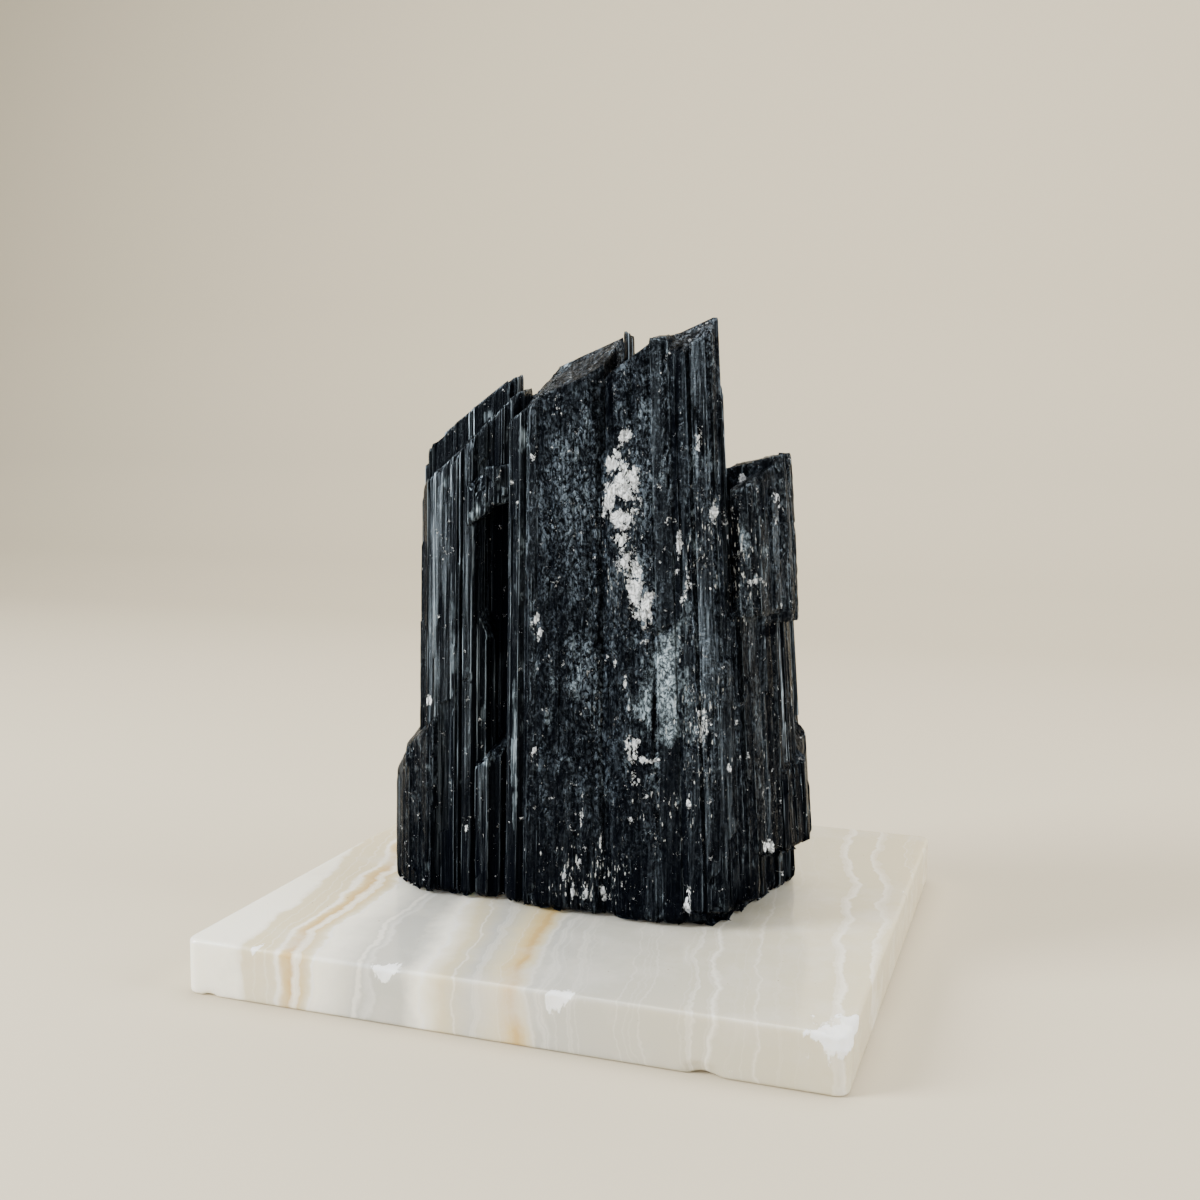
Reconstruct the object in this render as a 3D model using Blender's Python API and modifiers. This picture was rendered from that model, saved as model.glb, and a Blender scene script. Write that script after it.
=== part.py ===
"""Raw black tourmaline standing on a polished slab of banded onyx.

The tourmaline is one bundle of crystals grown side by side, so it is one solid: straight prisms that
share one upright direction, spread a little towards the foot, and end at the top in slanting breaks.
Metres, +Z up. The origin is at the middle of the slab's underside. X runs along the slab's front edge
and Y runs back. Sizes below are millimetres, multiplied by MM where they enter Blender.
"""

import math

import bmesh
import bpy
import numpy as np
from mathutils import Vector

MM = 0.001

# The slab
SLAB_WIDTH = 152.0
SLAB_DEPTH = 147.0
SLAB_THICK = 12.9
SLAB_CORNER_RADIUS = 3.0
SLAB_EDGE_BEVEL = 0.9

# The bundle as a whole
REST_GAP = 0.3
FOOT = SLAB_THICK + REST_GAP
OUTLINE_HEIGHT = 80.0  # the height at which each crystal's outline is drawn
SPREAD_FROM_X = -15.0  # to the right of this the crystals lean outwards as they go down
SPREAD_X = 0.0013
SPREAD_Y = 0.0009
OVER_TOP = 175.0

# The narrow crystals along the open sides
RIB_PITCH = 4.2
RIB_ROOT = 1.6
RIB_SEED = 41

# Each crystal: outline corners at OUTLINE_HEIGHT, counterclockwise from above; how many of the sides,
# counted from the first corner, face the open air; how far their ribs stand out; a point on the slanting
# break; how steeply the break rises along X and Y; and where the crystal starts, which is FOOT for most.
CRYSTALS = {
    "left front": dict(
        outline=[(-44.2, -9), (-42.9, -17), (-38.2, -22.2), (-26.4, -23.5), (-25.6, -14), (-30, -8)],
        open_sides=4, stand=0.8, peak=(-40, -22, 116.4), rise=(0.86, 0.2),
    ),
    "over groove left": dict(
        outline=[(-29, -22.6), (-22.6, -22.9), (-22.0, -11), (-29, -11)],
        open_sides=1, stand=0.8, peak=(-28, -22, 127.0), rise=(0.96, 0.2), foot=108.6,
    ),
    "over groove right": dict(
        outline=[(-23.4, -22.5), (-17.4, -22.9), (-16.2, -19), (-16.6, -11), (-23, -11)],
        open_sides=1, stand=0.5, peak=(-28, -22, 126.6), rise=(0.96, 0.2), foot=112.2,
    ),
    "apron left": dict(
        outline=[(-28.4, -22.6), (-26.8, -24.6), (-22.9, -25.1), (-22.4, -21), (-28, -20)],
        open_sides=2, stand=0.5, peak=(-26, -25, 116.9), rise=(0.84, 0.15), foot=107.2,
    ),
    "apron right": dict(
        outline=[(-23.2, -24.7), (-18.6, -25.0), (-17.2, -21), (-23, -20)],
        open_sides=1, stand=0.4, peak=(-22, -25, 120.4), rise=(0.1, 0.15), foot=111.0,
    ),
    "groove floor": dict(
        outline=[(-28.5, -15.5), (-21, -14.5), (-16, -15.5), (-15, -5), (-29, -5)],
        open_sides=2, stand=0.5, peak=(-22, -14, 130), rise=(0.8, 0.1),
    ),
    "groove rib": dict(
        outline=[(-27.0, -20.2), (-25.2, -23.2), (-22.4, -23.6), (-19.6, -22.2), (-18.4, -19.0),
                 (-20, -13), (-26, -13)],
        open_sides=4, stand=0.0, peak=(-23.5, -23, 48.5), rise=(0.7, 0.5),
    ),
    "bright ridge": dict(
        outline=[(-18.5, -20.0), (-17.0, -23.2), (-14.2, -24.9), (-12.2, -23.6), (-11.4, -18), (-12, -10),
                 (-17, -10)],
        open_sides=4, stand=0.0, peak=(-14.5, -25, 132.8), rise=(0.75, 0.3),
    ),
    "left blade": dict(
        outline=[(-42.4, -12.6), (-33, -13.6), (-21.9, -12.4), (-20.4, -7), (-31, 5), (-40, 6),
                 (-46.6, 0), (-45.6, -7)],
        open_sides=0, stand=0.0, peak=(-46.8, -5, 122.9), rise=(0.78, 0.06),
    ),
    "left blade side": dict(
        outline=[(-46.8, 6), (-47.4, -1), (-45.6, -9), (-38, -8), (-37, 5)],
        open_sides=2, stand=0.6, peak=(-46.8, -5, 121.8), rise=(0.6, 0.1),
    ),
    "hollow behind": dict(
        outline=[(-24, -11), (-14, -12), (-13, 0), (-21, 2)],
        open_sides=0, stand=0.0, peak=(-18.6, -5, 137.2), rise=(0.5, 0.1),
    ),
    "shoulder": dict(
        outline=[(-13.4, -21.5), (-12.2, -24.6), (-8.2, -25.4), (-7.0, -10), (-12, -7.5)],
        open_sides=2, stand=0.35, peak=(-10.9, -25, 135.2), rise=(0.7, 0.5),
    ),
    "broad face": dict(
        outline=[(-9.0, -25.2), (-2.0, -25.9), (5.2, -25.5), (8.0, -23.5), (8.6, -15), (9.2, -9.0),
                 (-9.5, -9)],
        open_sides=3, stand=0.35, peak=(-8.4, -25, 137.2), rise=(0.42, 0.52),
    ),
    "thin tip": dict(
        outline=[(8.0, -7.2), (10.6, -7.8), (10.8, -4.8), (8.4, -4.2)],
        open_sides=0, stand=0.0, peak=(9, -6, 152.6), rise=(-0.3, -0.2),
    ),
    "rough shoulder": dict(
        outline=[(9.0, -23.4), (10.2, -25.3), (15.9, -25.9), (21.2, -25.8), (21, -14), (16, -6),
                 (11.5, -12)],
        open_sides=3, stand=0.35, peak=(9.0, -24, 143.2), rise=(0.7, 0.04),
    ),
    "dark panel": dict(
        outline=[(21.0, -25.3), (25.6, -25.0), (26.2, -14), (25, -8), (20.6, -8)],
        open_sides=0, stand=0.0, peak=(19.6, -24, 150.8), rise=(0.15, 0.08),
    ),
    "dark panel edge": dict(
        outline=[(21.2, -25.9), (25.9, -25.3), (26.0, -16), (21, -15)],
        open_sides=1, stand=0.0, peak=(22.7, -24, 150.0), rise=(-0.18, 0.05),
    ),
    "peak": dict(
        outline=[(26.1, -25.3), (31.5, -26.0), (35.4, -24.0), (37.0, -19.4), (36.2, -17.0), (26.4, -17.0)],
        open_sides=3, stand=0.4, peak=(24, -25, 147.2), rise=(0.42, 0.62), foot=16.5,
    ),
    "peak side": dict(
        outline=[(33.8, -23.6), (36.6, -20.8), (37.4, -16.0), (35.0, -10.5), (32.5, -16)],
        open_sides=2, stand=0.25, peak=(35.0, -20, 139), rise=(-1.1, -0.4), foot=21.0,
    ),
    "behind peak": dict(
        outline=[(25.5, -18.5), (34.6, -18.5), (33.2, -11), (30.6, -3), (26, -2)],
        open_sides=2, stand=0.5, peak=(30, -18.5, 151.0), rise=(0.25, -0.35),
    ),
    "right block front": dict(
        outline=[(39.6, -20.6), (43.9, -17.2), (46.3, -11.5), (48.5, -3.4), (45.5, -1), (43.2, -8),
                 (39.4, -14.5)],
        open_sides=3, stand=0.5, peak=(36.2, -20, 116.0), rise=(0.22, 0.29), foot=86.5,
    ),
    "right block back": dict(
        outline=[(49.2, -4.2), (49.3, 3), (46.6, 9.0), (34, 10), (33.5, -9), (42.8, -10)],
        open_sides=3, stand=0.5, peak=(43.6, 2, 124.2), rise=(0.24, 0.05), foot=84.0,
    ),
    "right wall front": dict(
        outline=[(34.4, -23.1), (38.3, -19.2), (41.0, -15.8), (39, -6), (32, -8)],
        open_sides=2, stand=0.7, peak=(40, -15, 88.6), rise=(0.2, 0.1), foot=18.0,
    ),
    "right wall corner": dict(
        outline=[(40.4, -16.4), (42.6, -13.0), (44.8, -7.6), (42, -1), (36, -8)],
        open_sides=2, stand=0.7, peak=(40, -15, 87.2), rise=(0.2, 0.1), foot=28.5,
    ),
    "right wall back": dict(
        outline=[(42.6, -9.8), (44.8, -2.8), (45.7, 7), (44.2, 18), (41.8, 26), (36, 18), (38, -4)],
        open_sides=4, stand=0.4, peak=(46, 0, 90.0), rise=(-0.4, 0.3), foot=27.0,
    ),
    "right wall low": dict(
        outline=[(44.4, -6.0), (46.8, -0.5), (47.7, 7.5), (46.0, 17.5), (38, 16), (38, -4)],
        open_sides=3, stand=0.4, peak=(46, 0, 51.0), rise=(-1.0, 0.3), foot=27.0,
    ),
    "right foot": dict(
        outline=[(30.4, -22.8), (33.0, -17.6), (35.6, -12.0), (38.2, 1.8), (39.6, 11), (40.4, 19),
                 (38, 25), (28, 12)],
        open_sides=6, stand=0.5, peak=(36, -10, 78.0), rise=(0.1, 0.1),
    ),
    "lower front": dict(
        outline=[(-12.6, -21.0), (-11.8, -23.8), (0, -24.4), (14, -24.5), (26, -24.2), (30.6, -22.8),
                 (28, -12), (-8, -12)],
        open_sides=0, stand=0.0, peak=(10, -20, 127), rise=(0.3, 0.0),
    ),
    "lower left lump": dict(
        outline=[(-51.6, -3.5), (-53.0, -9), (-51.4, -15), (-46.4, -19.4), (-40, -12), (-42, -1)],
        open_sides=3, stand=0.5, peak=(-48.2, -15, 47.2), rise=(1.5, 0.3),
    ),
    "lower left front": dict(
        outline=[(-48.4, -15.8), (-44.4, -21.0), (-36.8, -24.6), (-34, -18), (-40, -6), (-47, -7)],
        open_sides=2, stand=0.6, peak=(-44, -18, 52.6), rise=(1.1, 0.5),
    ),
    "core": dict(
        outline=[(-30, -9), (-8, -14), (14, -15), (28, -14), (29, 10), (20, 22), (-22, 20), (-38, 8)],
        open_sides=0, stand=0.0, peak=(0, 0, 124), rise=(0.35, -0.1),
    ),
    "back left": dict(
        outline=[(-36, 26.6), (-44.0, 18), (-45.8, 4), (-36, -4), (-24, 4), (-22, 22)],
        open_sides=2, stand=0.9, peak=(-36, 12, 119.0), rise=(0.62, -0.1),
    ),
    "back left middle": dict(
        outline=[(-14, 31.8), (-27, 29.5), (-36.6, 24), (-30, 2), (-8, 0), (-6, 24)],
        open_sides=2, stand=0.9, peak=(-20, 14, 131.0), rise=(0.55, -0.25),
    ),
    "back middle": dict(
        outline=[(12, 33), (-2, 33.6), (-15, 30.4), (-14, 2), (-8, -9.5), (6, -9.5), (16, 18)],
        open_sides=2, stand=0.9, peak=(2, 2, 143.0), rise=(0.35, -0.42),
    ),
    "back right middle": dict(
        outline=[(25, 29.8), (20, 32.6), (11, 32), (10, 4), (12, -9), (26, -8), (30, 8)],
        open_sides=2, stand=0.9, peak=(22, -4, 147.6), rise=(0.15, -0.5),
    ),
    "back right": dict(
        outline=[(40.8, 10), (40.2, 22), (35.2, 29.2), (25, 29.8), (27, 8), (33, -6), (37, -2)],
        open_sides=3, stand=0.8, peak=(38, 12, 116.0), rise=(0.25, -0.3),
    ),
    "back left step": dict(
        outline=[(-39.6, 23.4), (-45.2, 14), (-46.6, 4), (-42, 0), (-38, 16)],
        open_sides=2, stand=0.7, peak=(-44, 10, 92.0), rise=(0.9, 0.2),
    ),
    "back left blade": dict(
        outline=[(-24, 30.4), (-35.4, 27.4), (-34, 19), (-24, 20)],
        open_sides=1, stand=0.6, peak=(-30, 26, 131.0), rise=(0.9, 0.3),
    ),
    "back middle blade": dict(
        outline=[(8.5, 34.4), (-1.5, 34.8), (-4, 25), (6, 23)],
        open_sides=1, stand=0.6, peak=(3, 30, 112.0), rise=(0.7, -0.5),
    ),
    "back middle spine": dict(
        outline=[(-6, 33.6), (-15.4, 31.8), (-13, 22), (-6, 24)],
        open_sides=1, stand=0.6, peak=(-10, 28, 136.0), rise=(0.8, 0.3),
    ),
    "back right blade": dict(
        outline=[(29.4, 31.2), (20.8, 33.6), (19, 22), (28, 21)],
        open_sides=1, stand=0.6, peak=(25, 28, 104.0), rise=(0.6, -0.6),
    ),
    "back right step": dict(
        outline=[(41.8, 14), (40.8, 22.8), (37.2, 28.2), (32, 24), (35, 12)],
        open_sides=2, stand=0.6, peak=(39, 20, 84.0), rise=(-0.4, -0.5),
    ),
    "groove side": dict(
        outline=[(-26.4, -18.4), (-25.8, -21.4), (-24.0, -21.9), (-22.7, -19.6), (-22.8, -13), (-26, -13)],
        open_sides=4, stand=0.0, peak=(-24.6, -21, 82.0), rise=(-2.2, 0.3),
    ),
}

# Colour, roughness and metallic value of each piece
TOURMALINE_FINISH = ((0.012, 0.015, 0.02, 1.0), 0.32, 0.0)
ONYX_FINISH = ((0.78, 0.7, 0.56, 1.0), 0.12, 0.0)


def clear_scene():
    for obj in list(bpy.data.objects):
        bpy.data.objects.remove(obj, do_unlink=True)


def new_collection(name, shown):
    collection = bpy.data.collections.new(name)
    collection.hide_render = not shown
    bpy.context.scene.collection.children.link(collection)
    return collection


def new_material(name, finish):
    colour, roughness, metallic = finish
    material = bpy.data.materials.new(name)
    material.use_nodes = True
    shader = material.node_tree.nodes["Principled BSDF"]
    shader.inputs["Base Color"].default_value = colour
    shader.inputs["Roughness"].default_value = roughness
    shader.inputs["Metallic"].default_value = metallic
    return material


def spread(point):
    """The point moved outwards below OUTLINE_HEIGHT and inwards above it, as the bundle fans out."""
    drop = OUTLINE_HEIGHT - point.z
    point.x += SPREAD_X * max(point.x - SPREAD_FROM_X, 0.0) * drop
    point.y += SPREAD_Y * point.y * drop


def prism(outline, foot, peak, rise):
    """A closed prism on this outline, from the foot up to a slanting break through peak."""
    bm = bmesh.new()
    base = bm.faces.new([bm.verts.new((x, y, foot)) for x, y in outline])
    raised = bmesh.ops.extrude_face_region(bm, geom=[base])["geom"]
    top = [item for item in raised if isinstance(item, bmesh.types.BMVert)]
    bmesh.ops.translate(bm, verts=top, vec=(0, 0, OVER_TOP - foot))
    for vert in bm.verts:
        spread(vert.co)
    everything = bm.verts[:] + bm.edges[:] + bm.faces[:]
    up = Vector((-rise[0], -rise[1], 1.0)).normalized()
    cut = bmesh.ops.bisect_plane(bm, geom=everything, plane_co=peak, plane_no=up, clear_outer=True)
    rim = [item for item in cut["geom_cut"] if isinstance(item, bmesh.types.BMEdge)]
    bmesh.ops.contextual_create(bm, geom=rim)
    bmesh.ops.recalc_face_normals(bm, faces=bm.faces[:])
    bmesh.ops.scale(bm, verts=bm.verts[:], vec=(MM, MM, MM))
    return bm


def add_object(name, bm, collection, material):
    mesh = bpy.data.meshes.new(name)
    bm.to_mesh(mesh)
    bm.free()
    mesh.materials.append(material)
    obj = bpy.data.objects.new(name, mesh)
    collection.objects.link(obj)
    return obj


def as_helper(obj):
    obj.hide_render = True
    obj.display_type = "WIRE"


def rib_outline(start, end, stand):
    """Four corners of a narrow crystal between two points of a wall, standing out of it by stand."""
    along = (end - start).normalized()
    out = Vector((along.y, -along.x))
    shoulder = 0.22 * (end - start).length
    return [
        start - out * RIB_ROOT,
        start + along * shoulder + out * stand,
        end - along * shoulder + out * stand * 0.8,
        end - out * RIB_ROOT,
    ]


def ribs_on(crystal, rng):
    """Outline, foot, peak and rise of each narrow crystal on this crystal's open sides."""
    outline = [Vector(corner) for corner in crystal["outline"]]
    foot = crystal.get("foot", FOOT)
    slope = crystal["rise"]
    found = []
    for side in range(crystal["open_sides"]):
        a, b = outline[side], outline[(side + 1) % len(outline)]
        count = max(1, round((b - a).length / RIB_PITCH))
        joints = (np.arange(count + 1) + np.pad(rng.uniform(-0.25, 0.25, count - 1), 1)) / count
        for left, right in zip(joints[:-1], joints[1:]):
            start, end = a.lerp(b, left + 0.03), a.lerp(b, right - 0.03)
            stand = crystal["stand"] * rng.uniform(0.45, 1.25)
            x, y, z = crystal["peak"]
            drop = rng.choice([0.6, 2.0, 5.0, 11.0], p=[0.3, 0.3, 0.25, 0.15]) * rng.uniform(0.7, 1.3)
            rise_here = (slope[0] + rng.uniform(-0.15, 0.25), slope[1] + rng.uniform(0.0, 0.4))
            middle = (start + end) / 2
            top = z + slope[0] * (middle.x - x) + slope[1] * (middle.y - y) - drop
            start_z = foot + rng.choice([0.0, 1.2, 3.0], p=[0.6, 0.25, 0.15])
            peak = (middle.x, middle.y, max(top, start_z + 6.0))
            found.append((rib_outline(start, end, stand), start_z, peak, rise_here))
    return found


def join_all(obj, members):
    """Fuses every member of the collection to this object."""
    modifier = obj.modifiers.new("Grown together", "BOOLEAN")
    modifier.operation = "UNION"
    modifier.solver = "EXACT"
    modifier.operand_type = "COLLECTION"
    modifier.collection = members


def make_tourmaline(shown, members):
    """All the prisms joined in one solid. The first crystal is the object, and the rest join it."""
    material = new_material("black tourmaline", TOURMALINE_FINISH)
    rng = np.random.default_rng(RIB_SEED)
    stone = None
    for name, crystal in CRYSTALS.items():
        body = prism(crystal["outline"], crystal.get("foot", FOOT), crystal["peak"], crystal["rise"])
        if stone is None:
            stone = add_object("tourmaline", body, shown, material)
        else:
            as_helper(add_object(name, body, members, material))
        if crystal["stand"] == 0.0:
            continue
        for number, rib in enumerate(ribs_on(crystal, rng)):
            as_helper(add_object(f"{name} rib {number}", prism(*rib), members, material))
    join_all(stone, members)
    return stone


def make_slab(shown):
    """A flat polished slab with rounded upright corners and a fine bevel along its other edges."""
    bm = bmesh.new()
    bmesh.ops.create_cube(bm, size=1.0)
    size = (SLAB_WIDTH * MM, SLAB_DEPTH * MM, SLAB_THICK * MM)
    bmesh.ops.scale(bm, verts=bm.verts[:], vec=size)
    bmesh.ops.translate(bm, verts=bm.verts[:], vec=(0, 0, SLAB_THICK * MM / 2))
    upright = [edge for edge in bm.edges if abs(edge.verts[0].co.z - edge.verts[1].co.z) > MM]
    corner = SLAB_CORNER_RADIUS * MM
    bmesh.ops.bevel(bm, geom=upright, offset=corner, segments=5, profile=0.5, affect="EDGES")
    slab = add_object("onyx_slab", bm, shown, new_material("banded onyx", ONYX_FINISH))
    bevel = slab.modifiers.new("Edge bevel", "BEVEL")
    bevel.width = SLAB_EDGE_BEVEL * MM
    bevel.segments = 2
    bevel.limit_method = "ANGLE"
    bevel.angle_limit = math.radians(40)
    return slab


def main():
    clear_scene()
    shown = new_collection("Raw black tourmaline", True)
    members = new_collection("Crystals joined in the bundle", False)
    make_tourmaline(shown, members)
    make_slab(shown)


main()
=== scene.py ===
"""Raw black tourmaline on a polished slab of banded onyx: the surfaces, the finishes and the view."""

import math

import bpy
import numpy as np
from mathutils import Matrix, Vector


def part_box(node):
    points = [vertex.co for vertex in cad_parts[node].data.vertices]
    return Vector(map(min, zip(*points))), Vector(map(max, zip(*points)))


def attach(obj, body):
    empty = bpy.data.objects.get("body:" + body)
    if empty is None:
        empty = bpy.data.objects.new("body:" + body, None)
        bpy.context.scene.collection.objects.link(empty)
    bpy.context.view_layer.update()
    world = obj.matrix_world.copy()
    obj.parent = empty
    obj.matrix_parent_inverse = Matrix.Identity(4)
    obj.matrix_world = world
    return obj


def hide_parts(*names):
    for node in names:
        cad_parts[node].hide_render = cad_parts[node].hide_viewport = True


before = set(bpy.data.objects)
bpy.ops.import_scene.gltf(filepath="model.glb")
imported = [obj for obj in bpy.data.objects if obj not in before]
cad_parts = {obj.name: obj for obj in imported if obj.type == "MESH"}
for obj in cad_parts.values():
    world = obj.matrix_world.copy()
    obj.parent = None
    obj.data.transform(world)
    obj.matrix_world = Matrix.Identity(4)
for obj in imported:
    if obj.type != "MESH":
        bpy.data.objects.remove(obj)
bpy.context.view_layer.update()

MM = 0.001

# The onyx slab.
# A sawn square of banded calcite onyx, white and cream with amber bands, polished all over. Its edges are
# rounded by the polishing wheel, and its front edge and one corner are chipped from handling.

slab_low, slab_high = (np.array(corner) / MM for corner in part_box("onyx_slab"))
SLAB_TOP = slab_high[2]
SLAB_CORNER = 3.0
SLAB_BEVEL = 0.9
SLAB_SIDE_STEP = 1.1
SLAB_SHARP_DEGREES = 35
# Rings of points on the top and the underside, as shares of the way from the middle to the edge
SLAB_RINGS = np.array([0.12, 0.25, 0.4, 0.55, 0.68, 0.79, 0.87, 0.93, 0.97, 0.985])
# Places along the edge that have lost a flake: x, y, z, reach and depth in mm, and how white the bruise is
SLAB_CHIPS = [
    (74, -72, 12.9, 4.6, 1.5, 1.2), (75.6, -66, 12.9, 3, 0.9, 1), (70, -73.5, 12.6, 2.4, 0.8, 1),
    (-24.6, -73.5, 12.9, 2.9, 0.7, 1.1), (15, -73.5, 11.6, 2.7, 0.5, 1), (17.2, -73.5, 12.9, 1.9, 0.5, 0.9),
    (47, -73.5, 0, 4, 1.3, 0.2), (-70, -73.5, 0, 2.2, 0.7, 0.2), (-58, -72.5, 12.9, 1.6, 0.3, 0.6),
    (76, 20, 12.9, 2, 0.6, 0.5), (-76, 35, 12.9, 2.6, 0.7, 0.5), (10, 73.5, 12.9, 2.8, 0.8, 0.5),
]
CHIP_SQUASH = 1.3
CHIP_RAGGED = 0.35
CHIP_GRAIN = 1.3
CHIP_DROP = 0.8
# Bands and thin white growth lines cross the slab from front to back, leaning left: where each lies in mm,
# measured along X through the slab's middle, and its colour
ONYX_LEAN = 0.16
ONYX_MILK = (0.92, 0.87, 0.73)
# Partly the onyx's own translucent grey, partly a painted reflection on the polished top
ONYX_GREY_AND_REFLECTION = (0.47, 0.455, 0.40)
ONYX_CREAM = (0.64, 0.55, 0.35)
ONYX_HONEY = (0.63, 0.465, 0.21)
ONYX_AMBER = (0.55, 0.36, 0.13)
ONYX_GROWTH = (0.88, 0.84, 0.74, 1.0)
ONYX_LINE = (0.90, 0.88, 0.83, 1.0)
ONYX_CLOUD = (0.66, 0.62, 0.53, 1.0)
ONYX_SPECK = (0.20, 0.16, 0.11, 1.0)
ONYX_BRUISE = (0.92, 0.91, 0.88, 1.0)
ONYX_BANDS = [
    (-90, ONYX_MILK), (-75, ONYX_MILK), (-73, ONYX_CREAM), (-65.5, ONYX_CREAM), (-64.2, ONYX_MILK),
    (-63, ONYX_HONEY), (-61, ONYX_AMBER), (-60, ONYX_MILK), (-58.6, ONYX_HONEY), (-56.5, ONYX_CREAM),
    (-54, ONYX_MILK), (-44, ONYX_GREY_AND_REFLECTION), (-36, ONYX_GREY_AND_REFLECTION), (-31, ONYX_MILK), (-25, ONYX_CREAM),
    (-18, ONYX_GREY_AND_REFLECTION), (-12, ONYX_CREAM), (-9, ONYX_HONEY), (-6.5, ONYX_AMBER), (-4, ONYX_CREAM),
    (-1, ONYX_GREY_AND_REFLECTION), (18, ONYX_GREY_AND_REFLECTION), (34, ONYX_GREY_AND_REFLECTION), (38, ONYX_MILK), (44, ONYX_GREY_AND_REFLECTION),
    (56, ONYX_GREY_AND_REFLECTION), (62, ONYX_CREAM), (66, ONYX_CREAM), (71, ONYX_HONEY), (74, ONYX_AMBER),
    (77, ONYX_HONEY), (90, ONYX_CREAM),
]
ONYX_LINES = [-74.2, -64.4, -54.8, -42.5, -30.4, -2.4, 9.7, 15.4, 35.6, 60.4]
ONYX_LINE_HALF = 0.5


def lattice_value(ix, iy, iz, seed):
    """A repeatable random number from -1 to 1 for each whole-number point: the bits of its place mixed."""
    key = ix * 374761393 + iy * 668265263 + iz * 2147483647 + seed * 974634777
    key = (key ^ (key >> 13)) & 0xFFFFFFFF
    key = (key * 1274126177) & 0xFFFFFFFF
    key = (key ^ (key >> 16)) & 0xFFFF
    return key / 32767.5 - 1.0


def smooth_noise(x, y, z, seed):
    """Random numbers at whole-number points, blended between them along each axis by t*t*(3 - 2t)."""
    x, y, z = np.broadcast_arrays(x, y, z)
    floor_x, floor_y, floor_z = np.floor(x), np.floor(y), np.floor(z)
    ix, iy, iz = (f.astype(np.int64) for f in (floor_x, floor_y, floor_z))
    tx, ty, tz = (t * t * (3 - 2 * t) for t in (x - floor_x, y - floor_y, z - floor_z))
    total = np.zeros(x.shape)
    for dx in (0, 1):
        for dy in (0, 1):
            for dz in (0, 1):
                weight = (tx if dx else 1 - tx) * (ty if dy else 1 - ty) * (tz if dz else 1 - tz)
                total += weight * lattice_value(ix + dx, iy + dy, iz + dz, seed)
    return total


def layered_noise(x, y, z, seed, layers=3):
    """smooth_noise added up in layers, each twice as fine and half as strong as the one before."""
    total, strength = 0.0, 1.0
    for layer in range(layers):
        total = total + strength * smooth_noise(x, y, z, seed + 17 * layer)
        x, y, z, strength = 2.03 * x, 2.03 * y, 2.03 * z, strength * 0.5
    return total / (2 - 2 * strength)


def closed_faces(around, up):
    """Four-sided faces of a closed ring of `around` columns with `up` points in each, column after column,
    and the fans that close it: from the columns' last points to the next point, and from their first points
    to the point after that."""
    start = np.arange(around) * up
    following = np.roll(start, -1)
    row = np.arange(up - 1)[None, :]
    a, b = start[:, None] + row, following[:, None] + row
    over = np.stack([start + up - 1, following + up - 1, np.full(around, around * up)], -1)
    under = np.stack([np.full(around, around * up + 1), following, start], -1)
    return np.stack([a, b, b + 1, a + 1], -1).reshape(-1, 4), np.concatenate([over, under])


def new_mesh_object(name, points_mm, quads, triangles, collection=None):
    """A mesh object at the origin from points in millimetres, four-sided faces and three-sided faces."""
    corners = np.concatenate([quads.reshape(-1), triangles.reshape(-1)]).astype(np.int32)
    sizes = np.concatenate([np.full(len(quads), 4), np.full(len(triangles), 3)]).astype(np.int32)
    starts = np.concatenate([[0], np.cumsum(sizes)[:-1]]).astype(np.int32)
    mesh = bpy.data.meshes.new(name)
    mesh.vertices.add(len(points_mm))
    mesh.vertices.foreach_set("co", (points_mm * MM).astype(np.float32).reshape(-1))
    mesh.loops.add(len(corners))
    mesh.loops.foreach_set("vertex_index", corners)
    mesh.polygons.add(len(sizes))
    mesh.polygons.foreach_set("loop_start", starts)
    mesh.update(calc_edges=True)
    obj = bpy.data.objects.new(name, mesh)
    (collection or bpy.context.scene.collection).objects.link(obj)
    return obj


def mesh_points(mesh):
    """The points of a mesh in millimetres."""
    points = np.empty(len(mesh.vertices) * 3, np.float32)
    mesh.vertices.foreach_get("co", points)
    return points.reshape(-1, 3) / MM


def set_values(mesh, name, domain, values):
    """Stores one number for each face or point of a mesh, for its material to read."""
    mesh.attributes.new(name, "FLOAT", domain).data.foreach_set("value", values.astype(np.float32))


def rounded_square(low, high, radius, step):
    """Points and outward directions round a rectangle with quarter circles as corners, counterclockwise."""
    points, outward = [], []
    for quarter, (sx, sy) in enumerate(((1, -1), (1, 1), (-1, 1), (-1, -1))):
        centre = np.array([high[0] - radius if sx > 0 else low[0] + radius,
                           high[1] - radius if sy > 0 else low[1] + radius])
        angle = np.radians(-90 + 90 * quarter + np.linspace(0, 90, 9))
        direction = np.stack([np.cos(angle), np.sin(angle)], -1)
        points.append(centre + radius * direction)
        outward.append(direction)
    corners = np.concatenate(points)
    directions = np.concatenate(outward)
    gap = np.linalg.norm(np.roll(corners, -1, 0) - corners, axis=1)
    count = np.maximum(1, np.round(gap / step)).astype(int)
    start = np.repeat(np.arange(len(corners)), count)
    share = np.concatenate([np.arange(n) / n for n in count])[:, None]
    following = (start + 1) % len(corners)
    path = corners[start] * (1 - share) + corners[following] * share
    facing = directions[start] * (1 - share) + directions[following] * share
    return path, facing / np.linalg.norm(facing, axis=1, keepdims=True)


def slab_profile():
    """How far in from the outline and how high each point of the slab's edge lies: two quarter-round edges
    with the flat side between them."""
    thick = slab_high[2] - slab_low[2]
    turn = np.radians(np.linspace(0, 90, 6))
    bevel_in, bevel_up = SLAB_BEVEL * (1 - np.sin(turn)), SLAB_BEVEL * (1 - np.cos(turn))
    side = np.linspace(SLAB_BEVEL, thick - SLAB_BEVEL, 14)[1:-1]
    inset = np.concatenate([bevel_in, np.zeros(len(side)), bevel_in[::-1]])
    return inset, np.concatenate([bevel_up, side, thick - bevel_up[::-1]])


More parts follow.
